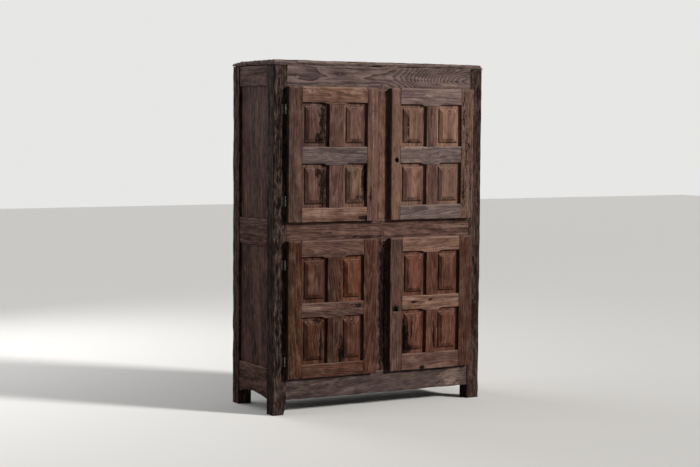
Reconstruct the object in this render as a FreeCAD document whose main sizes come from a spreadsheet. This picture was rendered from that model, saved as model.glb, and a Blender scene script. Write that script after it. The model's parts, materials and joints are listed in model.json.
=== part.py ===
"""A trastero: a tall free-standing cabinet with four frame-and-panel doors.

Four corner posts run down to the floor as feet. Rails tenoned between them make a front
frame with a centre post, two panelled sides and a boarded back, and loose boards make the
top, the floor and three shelves. Each door has two stiles, three rails, two muntins and four
raised panels held in grooves, and it lies over the front frame on two butt hinges. The two
right doors have a keyhole and a rim lock whose bolt slides into the centre post.

X runs along the front, Y from front to back and Z up. The origin is on the floor, under the
middle of the whole cabinet. All sizes are in millimetres.
"""

import FreeCAD, Part
import math
import os
import re
from collections import namedtuple

import Sketcher

SIZES = (
    ("carcass_width", 1324, "across the outer faces of the posts"),
    ("carcass_depth", 500, "from the front of the front posts to the rear of the rear posts"),
    ("carcass_height", 1873, "from the floor to the tops of the posts"),
    ("post_width", 80, "post, along the front"),
    ("post_depth", 76, "post, from front to back"),
    ("post_round", 4, "worn round on the post's four long edges"),
    ("top_thickness", 27, "top boards"),
    ("top_side_overhang", 6, "top boards past the posts at each side"),
    ("top_front_overhang", 5, "top boards past the posts at the front"),
    ("board_gap", 0.5, "between two boards laid side by side"),
    ("joint_clearance", 0.2, "round a tenon or a panel's tongue in its slot"),
    ("front_rail_depth", 55, "front rails and centre posts, from front to back"),
    ("top_rail_height", 117, "front top rail"),
    ("middle_rail_share", 0.5558, "upper edge of the front middle rail, as a share of the height"),
    ("middle_rail_height", 109, "front middle rail"),
    ("bottom_rail_top", 199, "upper edge of the front bottom rail above the floor"),
    ("bottom_rail_height", 119, "front bottom rail"),
    ("front_tenon_length", 40, "tenons of the front rails"),
    ("front_tenon_thickness", 20, "tenons of the front rails and the centre posts"),
    ("front_tenon_setback", 18, "from the front face back to those tenons"),
    ("frame_shoulder", 12, "above and below a frame tenon"),
    ("centre_post_width", 97, "centre post, along the front"),
    ("centre_post_shift", 5.5, "centre post's middle, right of the cabinet's middle"),
    ("centre_tenon_length", 35, "tenons at the centre posts' ends"),
    ("peg_radius", 4, "pegs through the front frame's tenons"),
    ("peg_length", 42, "pegs through the front frame's tenons"),
    ("peg_clearance", 0.1, "round a peg in its hole"),
    ("peg_inset", 20, "from the post's inner face to a peg"),
    ("side_rail_thickness", 40, "side rails, through the side"),
    ("side_recess", 2, "side rails behind the posts' outer faces"),
    ("side_tenon_length", 30, "tenons of the side rails"),
    ("side_tenon_thickness", 14, "tenons of the side rails"),
    ("side_top_rail_height", 111, "side top rail"),
    ("side_middle_rail_rise", 7, "side middle rail's upper edge above the front one's"),
    ("side_middle_rail_height", 146, "side middle rail"),
    ("side_bottom_rail_top", 247, "upper edge of the side bottom rail above the floor"),
    ("side_bottom_rail_height", 170, "side bottom rail at its ends"),
    ("side_arch_rise", 20, "rise of the arch cut in the side bottom rail"),
    ("side_arch_foot", 12, "straight edge left at each end of the arch"),
    ("side_panel_thickness", 14, "side panels"),
    ("side_panel_recess", 14, "side panels behind the side rails' outer faces"),
    ("side_panel_tongue", 10, "side panels' edges inside their slots"),
    ("side_slot_depth", 11, "slots that hold the side panels"),
    ("rear_rail_thickness", 40, "rear rails, from front to back"),
    ("rear_tenon_length", 35, "tenons of the rear rails"),
    ("back_board_thickness", 12, "boards of the back"),
    ("back_recess", 8, "back boards in front of the rear posts' rear faces"),
    ("back_board_low", 95, "lower ends of the back boards above the floor"),
    ("shelf_thickness", 20, "boards of the floor and the shelves"),
    ("shelf_clearance", 1, "round the floor and the shelves inside the frame"),
    ("runner_width", 25, "runners under the shelves, across"),
    ("runner_height", 25, "runners under the shelves, up"),
    ("runner_lap", 14, "runner's end on the face of a post"),
    ("upper_shelf_share", 0.5, "upper shelf, as a share of the way from the middle to the top rail"),
    ("lower_shelf_share", 0.5, "lower shelf, as a share of the way from the bottom to the middle rail"),
    ("door_thickness", 30, "stiles and rails of the doors"),
    ("door_gap", 0.5, "between a shut door and the frame"),
    ("door_lap", 6, "door over the edges of its doorway"),
    ("door_tenon_length", 45, "tenons of the door rails"),
    ("door_tenon_thickness", 10, "tenons of the door rails"),
    ("door_tenon_setback", 13, "from the door's face back to its tenons"),
    ("door_shoulder", 12, "above and below a door tenon"),
    ("groove_width", 8, "groove that holds the door panels"),
    ("groove_depth", 9, "groove that holds the door panels"),
    ("groove_setback", 15.8, "from the door's face back to the groove"),
    ("panel_tongue", 8, "panel's edge inside the groove"),
    ("panel_margin", 22, "flat margin round the raised part of a panel"),
    ("panel_step", 3, "upright step round the foot of the bevel"),
    ("panel_bevel", 21, "width of the bevel up to the panel's field"),
    ("panel_field_setback", 4, "from the door's face back to the panel's field"),
    ("rail_dip", 9, "how far a door rail's lower edge swells down at the muntin"),
    ("rail_dip_land", 6, "straight edge beside the muntin, under the swell"),
    ("rail_dip_run", 34, "length of the double curve up from the swell"),
    ("upper_left_hinge_stile", 81, "width"),
    ("upper_left_free_stile", 67, "width"),
    ("upper_left_hinge_panel_share", 0.524, "opening beside the hinge stile, of both openings"),
    ("upper_left_muntin", 88, "width"),
    ("upper_left_top_rail", 85, "height beside the stiles"),
    ("upper_left_middle_rail", 90, "height beside the stiles"),
    ("upper_left_middle_rail_share", 0.433, "middle rail's lower edge, of the door's height"),
    ("upper_left_bottom_rail", 77, "height"),
    ("upper_left_top_hinge", 122, "hinge's middle below the door's upper edge"),
    ("upper_left_bottom_hinge", 115, "hinge's middle above the door's lower edge"),
    ("upper_right_hinge_stile", 82, "width"),
    ("upper_right_free_stile", 59, "width"),
    ("upper_right_hinge_panel_share", 0.495, "opening beside the hinge stile, of both openings"),
    ("upper_right_muntin", 66, "width"),
    ("upper_right_top_rail", 89, "height beside the stiles"),
    ("upper_right_middle_rail", 91, "height beside the stiles"),
    ("upper_right_middle_rail_share", 0.433, "middle rail's lower edge, of the door's height"),
    ("upper_right_bottom_rail", 82, "height"),
    ("upper_right_top_hinge", 122, "hinge's middle below the door's upper edge"),
    ("upper_right_bottom_hinge", 115, "hinge's middle above the door's lower edge"),
    ("lower_left_hinge_stile", 81, "width"),
    ("lower_left_free_stile", 84, "width"),
    ("lower_left_hinge_panel_share", 0.531, "opening beside the hinge stile, of both openings"),
    ("lower_left_muntin", 84, "width"),
    ("lower_left_top_rail", 88, "height beside the stiles"),
    ("lower_left_middle_rail", 77, "height beside the stiles"),
    ("lower_left_middle_rail_share", 0.443, "middle rail's lower edge, of the door's height"),
    ("lower_left_bottom_rail", 76, "height"),
    ("lower_left_top_hinge", 130, "hinge's middle below the door's upper edge"),
    ("lower_left_bottom_hinge", 95, "hinge's middle above the door's lower edge"),
    ("lower_right_hinge_stile", 86, "width"),
    ("lower_right_free_stile", 77, "width"),
    ("lower_right_hinge_panel_share", 0.492, "opening beside the hinge stile, of both openings"),
    ("lower_right_muntin", 66, "width"),
    ("lower_right_top_rail", 78, "height beside the stiles"),
    ("lower_right_middle_rail", 76, "height beside the stiles"),
    ("lower_right_middle_rail_share", 0.459, "middle rail's lower edge, of the door's height"),
    ("lower_right_bottom_rail", 94, "height"),
    ("lower_right_top_hinge", 98, "hinge's middle below the door's upper edge"),
    ("lower_right_bottom_hinge", 115, "hinge's middle above the door's lower edge"),
    ("hinge_height", 50, "butt hinge, along its pin"),
    ("leaf_thickness", 1.6, "hinge leaf"),
    ("leaf_reach", 24, "hinge leaf, from the pin or the door's back"),
    ("knuckle_radius", 4.5, "rolled knuckle of a hinge leaf"),
    ("knuckle_gap", 0.4, "between a knuckle and the next knuckle or the other leaf"),
    ("pin_radius", 2, "hinge pin"),
    ("pin_clearance", 0.05, "round the pin in its knuckles"),
    ("pin_head_radius", 3.2, "hammered head at each end of the pin"),
    ("pin_head_height", 2, "hammered head at each end of the pin"),
    ("lock_gap", 4, "between the lock's case and the centre post"),
    ("lock_width", 48, "lock case, along the door"),
    ("lock_depth", 20, "lock case, behind the door"),
    ("lock_height", 90, "lock case"),
    ("lock_wall", 2, "sheet iron of the lock case"),
    ("bolt_length", 38, "lock bolt"),
    ("bolt_thickness", 8, "lock bolt, from front to back"),
    ("bolt_height", 14, "lock bolt"),
    ("bolt_setback", 7, "from the door's back to the bolt"),
    ("bolt_clearance", 0.3, "round the bolt in the lock case"),
    ("bolt_notch", 8, "width of the notch that the key turns in"),
    ("bolt_play", 1.5, "round the bolt in the centre post's mortise"),
    ("bolt_mortise_depth", 15, "mortise for the bolt in the centre post"),
    ("keyhole_radius", 11.5, "worn keyhole of the upper door"),
    ("upper_right_keyhole_inset", 35, "keyhole's middle from the door's free edge"),
    ("upper_right_keyhole_rise", 16, "keyhole's middle above the middle rail's lower edge"),
    ("spade_width", 32, "spade-shaped keyhole of the lower door"),
    ("spade_height", 27, "spade-shaped keyhole of the lower door"),
    ("spade_curve", 38, "radius of the spade's two hollow sides"),
    ("lower_right_keyhole_inset", 38, "keyhole's middle from the door's free edge"),
    ("lower_right_keyhole_rise", 8, "keyhole's middle above the middle rail's lower edge"),
)

TOP_BOARDS = 3
SHELF_BOARDS = 2
BACK_BOARDS = 6

# Places that follow from the sizes. Each is a formula in the names above it and in SIZES.
PLACES = {
    "left": "-carcass_width / 2",
    "right": "carcass_width / 2",
    "front": "(door_gap + door_thickness - carcass_depth) / 2",
    "back": "front + carcass_depth",
    "left_post_edge": "left + post_width",
    "right_post_edge": "right - post_width",
    "centre_left": "centre_post_shift - centre_post_width / 2",
    "centre_right": "centre_post_shift + centre_post_width / 2",
    "top_rail_low": "carcass_height - top_rail_height",
    "middle_rail_top": "carcass_height * middle_rail_share",
    "middle_rail_low": "middle_rail_top - middle_rail_height",
    "bottom_rail_low": "bottom_rail_top - bottom_rail_height",
    "side_top_rail_low": "carcass_height - side_top_rail_height",
    "side_middle_rail_top": "middle_rail_top + side_middle_rail_rise",
    "side_middle_rail_low": "side_middle_rail_top - side_middle_rail_height",
    "side_bottom_rail_low": "side_bottom_rail_top - side_bottom_rail_height",
    "post_rear": "front + post_depth",
    "rear_post_front": "back - post_depth",
    "side_length": "rear_post_front - post_rear",
    "back_board_front": "back - back_recess - back_board_thickness",
    "rear_rail_front": "back_board_front - rear_rail_thickness",
    "inside_width": "right_post_edge - left_post_edge",
    "upper_shelf_top": "middle_rail_top + (top_rail_low - middle_rail_top) * upper_shelf_share",
    "lower_shelf_top": "bottom_rail_top + (middle_rail_low - bottom_rail_top) * lower_shelf_share",
    "door_back": "front - door_gap",
    "door_face": "door_back - door_thickness",
    "tongue_face": "groove_setback + joint_clearance",
    "tongue_thickness": "groove_width - 2 * joint_clearance",
    "rail_dip_radius": "(rail_dip_run * rail_dip_run + rail_dip * rail_dip) / (4 * rail_dip)",
    "arch_half": "side_length / 2 - side_arch_foot",
    "arch_radius": "(arch_half * arch_half + side_arch_rise * side_arch_rise) / (2 * side_arch_rise)",
    "hinge_x": "left_post_edge - door_lap - leaf_thickness - knuckle_gap - knuckle_radius",
    "hinge_y": "front - leaf_thickness - knuckle_gap - knuckle_radius",
    "barrel_height": "(hinge_height - 2 * knuckle_gap) / 3",
    "lock_x": "centre_right + lock_gap",
}

NAMES = {alias for alias, _, _ in SIZES}
PARTS = {}

doc = FreeCAD.newDocument("trastero")
sheet = doc.addObject("Spreadsheet::Sheet", "Sizes")
for row, (alias, value, meaning) in enumerate(SIZES, start=1):
    sheet.set(f"A{row}", alias)
    sheet.set(f"B{row}", str(value))
    sheet.set(f"C{row}", meaning)
    sheet.setAlias(f"B{row}", alias)
doc.recompute()

# A block is a box given by formulas: its lowest corner, then its sizes along X, Y and Z.
Block = namedtuple("Block", "x y z length width height")


def formula(text):
    """The expression for a formula, with each place worked out and the sheet put before each size."""

    def word(found):
        name = found.group()
        if name in PLACES:
            return "(" + formula(PLACES[name]) + ")"
        return "Sizes." + name if name in NAMES else name

    return re.sub(r"[a-z][a-z_]*", word, text)


def number(text):
    """A formula's value now, for a sketch's first guess."""
    return float(sheet.evalExpression(formula(text)))


def bind(thing, **formulas):
    """Tie properties of an object to formulas. X, Y and Z stand for its place."""
    for name, text in formulas.items():
        path = f"Placement.Base.{name.lower()}" if name in ("X", "Y", "Z") else name
        thing.setExpression(path, formula(text))


def grown(block, by):
    """A block made larger by the same clearance on every side."""
    low = [f"{text} - {by}" for text in block[:3]]
    size = [f"{text} + 2 * {by}" for text in block[3:]]
    return Block(*low, *size)


def mirrored(block):
    """The same block on the other side of the cabinet."""
    return block._replace(x=f"-({block.x}) - ({block.length})")


class Piece:
    """One solid piece: a body placed at its lowest corner, with features bound to the sheet."""

    def __init__(self, label, x, y, z):
        self.corner = (x, y, z)
        self.body = doc.addObject("PartDesign::Body", label)
        self.body.Label = label
        bind(self.body, X=x, Y=y, Z=z)

    def feature(self, kind, x, y, z, **sizes):
        """Add a feature, given its place in the cabinet, and move it into the body's own frame."""
        made = self.body.newObject("PartDesign::" + kind, kind)
        local = [f"({text}) - ({start})" for text, start in zip((x, y, z), self.corner)]
        bind(made, X=local[0], Y=local[1], Z=local[2], **sizes)
        return made

    def add(self, block):
        """Add a box, such as a board or a tenon."""
        sizes = {"Length": block.length, "Width": block.width, "Height": block.height}
        self.feature("AdditiveBox", *block[:3], **sizes)
        return self

    def cut(self, block):
        """Cut a box away, such as a mortise or a groove."""
        sizes = {"Length": block.length, "Width": block.width, "Height": block.height}
        self.feature("SubtractiveBox", *block[:3], **sizes)
        return self

    def barrel(self, kind, x, y, z, radius, height):
        """Add or cut an upright cylinder."""
        self.feature(kind, x, y, z, Radius=radius, Height=height)

    def rod(self, kind, x, y, z, radius, length):
        """Add or cut a cylinder that runs from front to back."""
        made = self.feature(kind, x, y, z, Radius=radius, Height=length)
        made.Placement.Rotation = FreeCAD.Rotation(FreeCAD.Vector(1, 0, 0), -90)

    def outline(self, role, corners):
        """A sketch on one of the body's own planes.

        Each corner is (across, up) or (across, up, radius, turn): with a radius, the run to the
        next corner is an arc, and turn is 1 where it turns left and -1 where it turns right.
        """
        sketch = self.body.newObject("Sketcher::SketchObject", "Outline")
        plane = [o for o in self.body.Origin.OriginFeatures if o.Role == role]
        sketch.AttachmentSupport = [(plane[0], "")]
        sketch.MapMode = "FlatFace"
        points = [FreeCAD.Vector(number(c[0]), number(c[1]), 0) for c in corners]
        ends = []
        for index, corner in enumerate(corners):
            start, end = points[index], points[(index + 1) % len(points)]
            if len(corner) == 2:
                ends.append((sketch.addGeometry(Part.LineSegment(start, end), False), 1, 2))
                continue
            ends.append(self.arc(sketch, start, end, *corner[2:]))
        for index, corner in enumerate(corners):
            geometry, first, last = ends[index]
            following = ends[(index + 1) % len(ends)]
            sketch.addConstraint(
                Sketcher.Constraint("Coincident", geometry, last, following[0], following[1])
            )
            for kind, axis, text, value in (
                ("DistanceX", -2, corner[0], points[index].x),
                ("DistanceY", -1, corner[1], points[index].y),
            ):
                if text == "0":
                    sketch.addConstraint(Sketcher.Constraint("PointOnObject", geometry, first, axis))
                    continue
                held = Sketcher.Constraint(kind, -1, 1, geometry, first, value)
                sketch.setExpression(f"Constraints[{sketch.addConstraint(held)}]", formula(text))
        return sketch

    @staticmethod
    def arc(sketch, start, end, radius, turn):
        """An arc between two points of a sketch, held by its radius."""
        size = number(radius)
        along = end - start
        square = FreeCAD.Vector(-along.y, along.x, 0).normalize()
        reach = math.sqrt(size**2 - (along.Length / 2) ** 2)
        centre = (start + end) / 2 + square * reach * turn
        first, last = (start, end) if turn > 0 else (end, start)
        angles = [math.atan2(p.y - centre.y, p.x - centre.x) for p in (first, last)]
        circle = Part.Circle(centre, FreeCAD.Vector(0, 0, 1), size)
        geometry = sketch.addGeometry(Part.ArcOfCircle(circle, *angles), False)
        held = sketch.addConstraint(Sketcher.Constraint("Radius", geometry, size))
        sketch.setExpression(f"Constraints[{held}]", formula(radius))
        return (geometry, 1, 2) if turn > 0 else (geometry, 2, 1)

    def pad(self, role, corners, depth, backwards=False):
        """A board cut to an outline and given its thickness."""
        sketch = self.outline(role, corners)
        made = self.body.newObject("PartDesign::Pad", "Pad")
        made.Profile = sketch
        made.Reversed = backwards
        bind(made, Length=depth)
        return self

    def pierce(self, role, corners):
        """A hole of any outline, right through the piece."""
        sketch = self.outline(role, corners)
        made = self.body.newObject("PartDesign::Pocket", "Pocket")
        made.Profile = sketch
        made.Type = "ThroughAll"
        made.SideType = "Symmetric"

    def keep(self):
        """Hand the piece in under its own label."""
        PARTS[self.body.Label] = self.body
        return self


def board(label, block):
    """A piece that starts as one plain board."""
    return Piece(label, *block[:3]).add(block)


def group(label, pieces):
    """Hand several pieces in together, still as separate solids."""
    compound = doc.addObject("Part::Compound", label)
    compound.Label = label
    compound.Links = [piece.body for piece in pieces]
    PARTS[label] = compound


def post(label, x, y):
    """A corner post, rounded a little on its long edges."""
    low, wide, deep = "post_round", "post_width - post_round", "post_depth - post_round"
    corners = [
        (low, "0"),
        (wide, "0", "post_round", 1),
        ("post_width", low),
        ("post_width", deep, "post_round", 1),
        (wide, "post_depth"),
        (low, "post_depth", "post_round", 1),
        ("0", deep),
        ("0", low, "post_round", 1),
    ]
    return Piece(label, x, y, "0").pad("XY_Plane", corners, "carcass_height").keep()


posts = {
    "front_left": post("front_left_post", "left", "front"),
    "front_right": post("front_right_post", "right_post_edge", "front"),
    "rear_left": post("rear_left_post", "left", "rear_post_front"),
    "rear_right": post("rear_right_post", "right_post_edge", "rear_post_front"),
}


def joined(rail, holder, tenon):
    """A tenon on a rail and the mortise for it in what holds the rail."""
    rail.add(tenon)
    holder.cut(grown(tenon, "joint_clearance"))


def across_rail(label, y, depth, low, height, left_holder, right_holder, tenon):
    """A rail from post to post along the cabinet, tenoned at both ends."""
    rail = board(label, Block("left_post_edge", y, low, "inside_width", depth, height))
    length, setback, thickness = tenon
    for holder, x in ((left_holder, f"left_post_edge - {length}"), (right_holder, "right_post_edge")):
        tenon_low = f"{low} + frame_shoulder"
        tenon_height = f"{height} - 2 * frame_shoulder"
        end = Block(x, f"{y} + {setback}", tenon_low, length, thickness, tenon_height)
        joined(rail, holder, end)
    return rail


# The front frame: three rails, and a centre post between each two of them.
front_rails = {}
for name in ("top", "middle", "bottom"):
    front_rails[name] = across_rail(
        f"front_{name}_rail",
        "front",
        "front_rail_depth",
        f"{name}_rail_low",
        f"{name}_rail_height",
        posts["front_left"],
        posts["front_right"],
        ("front_tenon_length", "front_tenon_setback", "front_tenon_thickness"),
    ).keep()


def centre_post(label, low, high, rail_below, rail_above):
    """A centre post, tenoned into the rails above and below it."""
    place = Block("centre_left", "front", low, "centre_post_width", "front_rail_depth", f"{high} - {low}")
    made = board(label, place)
    inner = f"{place.x} + frame_shoulder"
    width = "centre_post_width - 2 * frame_shoulder"
    for holder, z in ((rail_below, f"{low} - centre_tenon_length"), (rail_above, high)):
        y = "front + front_tenon_setback"
        joined(
            made,
            holder,
            Block(inner, y, z, width, "front_tenon_thickness", "centre_tenon_length"),
        )
    return made.keep()


centre_posts = {
    "upper": centre_post(
        "upper_centre_post",
        "middle_rail_top",
        "top_rail_low",
        front_rails["middle"],
        front_rails["top"],
    ),
    "lower": centre_post(
        "lower_centre_post",
        "bottom_rail_top",
        "middle_rail_low",
        front_rails["bottom"],
        front_rails["middle"],
    ),
}

# Each peg pins one tenon of the front frame, and is drilled through both pieces.
peg_places = []
for name in ("top", "middle", "bottom"):
    height = f"{name}_rail_low + {name}_rail_height / 2"
    peg_places.append(("left_post_edge - peg_inset", height, posts["front_left"], front_rails[name]))
    peg_places.append(("right_post_edge + peg_inset", height, posts["front_right"], front_rails[name]))
for level, rail, height in (
    ("upper", "top", "top_rail_low + centre_tenon_length / 2"),
    ("upper", "middle", "middle_rail_top - centre_tenon_length / 2"),
    ("lower", "middle", "middle_rail_low + centre_tenon_length / 2"),
    ("lower", "bottom", "bottom_rail_top - centre_tenon_length / 2"),
):
    peg_places.append(("centre_post_shift", height, centre_posts[level], front_rails[rail]))
pegs = []
for x, z, *pierced in peg_places:
    peg = Piece("peg", x, "front", z)
    peg.rod("AdditiveCylinder", x, "front", z, "peg_radius", "peg_length")
    pegs.append(peg)
    for piece in pierced:
        hole = ("peg_radius + peg_clearance", "peg_length + peg_clearance")
        piece.rod("SubtractiveCylinder", x, "front", z, *hole)
group("frame_pegs", pegs)


def side_place(side, inset, thickness):
    """Where a piece of a side starts along X, at an inset from the posts' outer faces."""
    if side == "left":
        return f"left + {inset}"
    return f"right - ({inset}) - {thickness}"


def side_rail(side, name):
    """A side rail between a front and a rear post. The bottom one has an arched lower edge."""
    low, height = f"side_{name}_rail_low", f"side_{name}_rail_height"
    x = side_place(side, "side_recess", "side_rail_thickness")
    label = f"{side}_{name}_rail"
    if name == "bottom":
        corners = [
            ("0", "0"),
            ("side_arch_foot", "0", "arch_radius", -1),
            ("side_length - side_arch_foot", "0"),
            ("side_length", "0"),
            ("side_length", height),
            ("0", height),
        ]
        rail = Piece(label, x, "post_rear", low).pad("YZ_Plane", corners, "side_rail_thickness")
    else:
        rail = board(label, Block(x, "post_rear", low, "side_rail_thickness", "side_length", height))
    tenon_x = side_place(side, "side_recess + side_panel_recess", "side_tenon_thickness")
    ends = (
        (posts[f"front_{side}"], "post_rear - side_tenon_length"),
        (posts[f"rear_{side}"], "rear_post_front"),
    )
    for holder, y in ends:
        tenon_low = f"{low} + frame_shoulder + side_arch_rise"
        tenon_height = f"{height} - 2 * frame_shoulder - side_arch_rise"
        end = Block(tenon_x, y, tenon_low, "side_tenon_thickness", "side_tenon_length", tenon_height)
        joined(rail, holder, end)
    return rail.keep()


def side_panel(side, level, rail_below, rail_above, low, high):
    """A flat panel held in slots in two posts and two rails."""
    x = side_place(side, "side_recess + side_panel_recess", "side_panel_thickness")
    tongue = "side_panel_tongue"
    panel = board(
        f"{side} {level} panel",
        Block(
            x,
            f"post_rear - {tongue}",
            f"{low} - {tongue}",
            "side_panel_thickness",
            f"side_length + 2 * {tongue}",
            f"{high} - {low} + 2 * {tongue}",
        ),
    )
    slot = Block(
        f"{x} - joint_clearance",
        "post_rear - side_slot_depth",
        f"{low} - side_slot_depth",
        "side_panel_thickness + 2 * joint_clearance",
        "side_length + 2 * side_slot_depth",
        f"{high} - {low} + 2 * side_slot_depth",
    )
    for holder in (posts[f"front_{side}"], posts[f"rear_{side}"], rail_below, rail_above):
        holder.cut(slot)
    return panel


for side in ("left", "right"):
    rails = {name: side_rail(side, name) for name in ("top", "middle", "bottom")}
    upper = side_panel(
        side, "upper", rails["middle"], rails["top"], "side_middle_rail_top", "side_top_rail_low"
    )
    lower = side_panel(
        side, "lower", rails["bottom"], rails["middle"], "side_bottom_rail_top", "side_middle_rail_low"
    )
    group(f"{side}_side_panels", [upper, lower])

# The back: three rails, and upright boards nailed on behind them.
rear_rails = []
for name in ("top", "middle", "bottom"):
    rear_rails.append(
        across_rail(
            f"rear {name} rail",
            "rear_rail_front",
            "rear_rail_thickness",
            f"{name}_rail_low",
            f"{name}_rail_height",
            posts["rear_left"],
            posts["rear_right"],
            ("rear_tenon_length", "frame_shoulder", "side_tenon_thickness"),
        )
    )
group("rear_rails", rear_rails)


def boards(label, axis, count, block):
    """Boards laid side by side over a block, along X or Y, with a narrow gap between them."""
    span = block.length if axis == "x" else block.width
    each = f"(({span}) - {count - 1} * board_gap) / {count}"
    made = []
    for index in range(count):
        shift = f" + {index} * ({each} + board_gap)"
        if axis == "x":
            place = block._replace(x=block.x + shift, length=each)
        else:
            place = block._replace(y=block.y + shift, width=each)
        made.append(board(f"{label} board", place))
    group(label, made)


boards(
    "back_boards",
    "x",
    BACK_BOARDS,
    Block(
        "left_post_edge + board_gap",
        "back_board_front",
        "back_board_low",
        "inside_width - 2 * board_gap",
        "back_board_thickness",
        "carcass_height - back_board_low - board_gap",
    ),
)
boards(
    "top_boards",
    "y",
    TOP_BOARDS,
    Block(
        "left - top_side_overhang",
        "front - top_front_overhang",
        "carcass_height",
        "carcass_width + 2 * top_side_overhang",
        "carcass_depth + top_front_overhang",
        "top_thickness",
    ),
)

# The floor and the shelves lie on runners fixed to the inner faces of the posts.
runners = []
inside_front = "front + front_rail_depth + shelf_clearance"
for label, top in (
    ("floor_boards", "bottom_rail_top"),
    ("lower_shelf", "lower_shelf_top"),
    ("middle_shelf", "middle_rail_top"),
    ("upper_shelf", "upper_shelf_top"),
):
    boards(
        label,
        "y",
        SHELF_BOARDS,
        Block(
            "left_post_edge + shelf_clearance",
            inside_front,
            f"{top} - shelf_thickness",
            "inside_width - 2 * shelf_clearance",
            f"rear_rail_front - shelf_clearance - ({inside_front})",
            "shelf_thickness",
        ),
    )
    for x in ("left_post_edge", "right_post_edge - runner_width"):
        start = "post_rear - runner_lap"
        low = f"{top} - shelf_thickness - runner_height"
        length = "side_length + 2 * runner_lap"
        runners.append(board("runner", Block(x, start, low, "runner_width", length, "runner_height")))
group("shelf_runners", runners)


class Door:
    """The edges and members of one door, as formulas."""

    def __init__(self, level, side):
        self.name = f"{level}_{side}"
        self.side = side
        self.level = level
        hinge, free = self.own("hinge_stile"), self.own("free_stile")
        if side == "left":
            self.x, self.end = "left_post_edge - door_lap", "centre_left + door_lap"
            self.inner, self.inner_end = f"{self.x} + {hinge}", f"{self.end} - {free}"
            start, share = self.inner, self.own("hinge_panel_share")
            self.stiles = (("hinge_stile", self.x), ("free_stile", self.inner_end))
        else:
            self.x, self.end = "centre_right - door_lap", "right_post_edge + door_lap"
            self.inner, self.inner_end = f"{self.x} + {free}", f"{self.end} - {hinge}"
            start, share = self.inner, f"(1 - {self.own('hinge_panel_share')})"
            self.stiles = (("free_stile", self.x), ("hinge_stile", self.inner_end))
        clear = f"{self.inner_end} - ({self.inner}) - {self.own('muntin')}"
        self.muntin = f"{start} + ({clear}) * {share}"
        if level == "upper":
            self.low, self.high = "middle_rail_top - door_lap", "top_rail_low + door_lap"
        else:
            self.low, self.high = "bottom_rail_top - door_lap", "middle_rail_low + door_lap"
        middle = f"{self.low} + ({self.high} - ({self.low})) * {self.own('middle_rail_share')}"
        self.rails = {
            "bottom_rail": (self.low, self.own("bottom_rail")),
            "middle_rail": (middle, self.own("middle_rail")),
            "top_rail": (f"{self.high} - {self.own('top_rail')}", self.own("top_rail")),
        }
        top_of_bottom = f"{self.low} + {self.own('bottom_rail')}"
        top_of_middle = f"{middle} + {self.own('middle_rail')}"
        self.rows = ((top_of_bottom, middle), (top_of_middle, self.rails["top_rail"][0]))

    def own(self, word):
        """The alias of one of this door's own sizes."""
        return f"{self.name}_{word}"


def door_rail(door, name):
    """A door rail. The top and middle ones swell down at the muntin, in a double curve."""
    low, height = door.rails[name]
    length = f"{door.inner_end} - ({door.inner})"
    label = f"{door.name} {name}"
    groove_high = Block(
        door.inner,
        "door_face + groove_setback",
        f"{low} + {height} - groove_depth",
        length,
        "groove_width",
        "groove_depth",
    )
    if name == "bottom_rail":
        rail = board(label, Block(door.inner, "door_face", low, length, "door_thickness", height))
        rail.cut(groove_high)
        return rail
    start = f"{door.muntin} - ({door.inner}) - rail_dip_land"
    finish = f"{door.muntin} + {door.own('muntin')} - ({door.inner}) + rail_dip_land"
    bend = "rail_dip_radius"
    corners = [
        ("0", "rail_dip"),
        (f"{start} - rail_dip_run", "rail_dip", bend, -1),
        (f"{start} - rail_dip_run / 2", "rail_dip / 2", bend, 1),
        (start, "0"),
        (finish, "0", bend, 1),
        (f"{finish} + rail_dip_run / 2", "rail_dip / 2", bend, -1),
        (f"{finish} + rail_dip_run", "rail_dip"),
        (length, "rail_dip"),
        (length, f"rail_dip + {height}"),
        ("0", f"rail_dip + {height}"),
    ]
    rail = Piece(label, door.inner, "door_face", f"{low} - rail_dip")
    rail.pad("XZ_Plane", corners, "door_thickness", backwards=True)
    rail.cut(groove_high._replace(z=f"{low} - rail_dip", height="rail_dip + groove_depth"))
    if name == "middle_rail":
        rail.cut(groove_high)
    return rail


def door_muntin(door, low, high):
    """A muntin between two rails, grooved at both sides, with a stub in each rail's groove."""
    width = door.own("muntin")
    foot = f"{high} - rail_dip - ({low})"
    muntin = board(
        f"{door.name} muntin", Block(door.muntin, "door_face", low, width, "door_thickness", foot)
    )
    for x in (door.muntin, f"{door.muntin} + {width} - groove_depth"):
        y = "door_face + groove_setback"
        muntin.cut(Block(x, y, low, "groove_depth", "groove_width", foot))
    stub = Block(
        f"{door.muntin} + groove_depth",
        "door_face + tongue_face",
        f"{low} - panel_tongue",
        f"{width} - 2 * groove_depth",
        "tongue_thickness",
        f"{high} - ({low}) + 2 * panel_tongue",
    )
    return muntin.add(stub)


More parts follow.
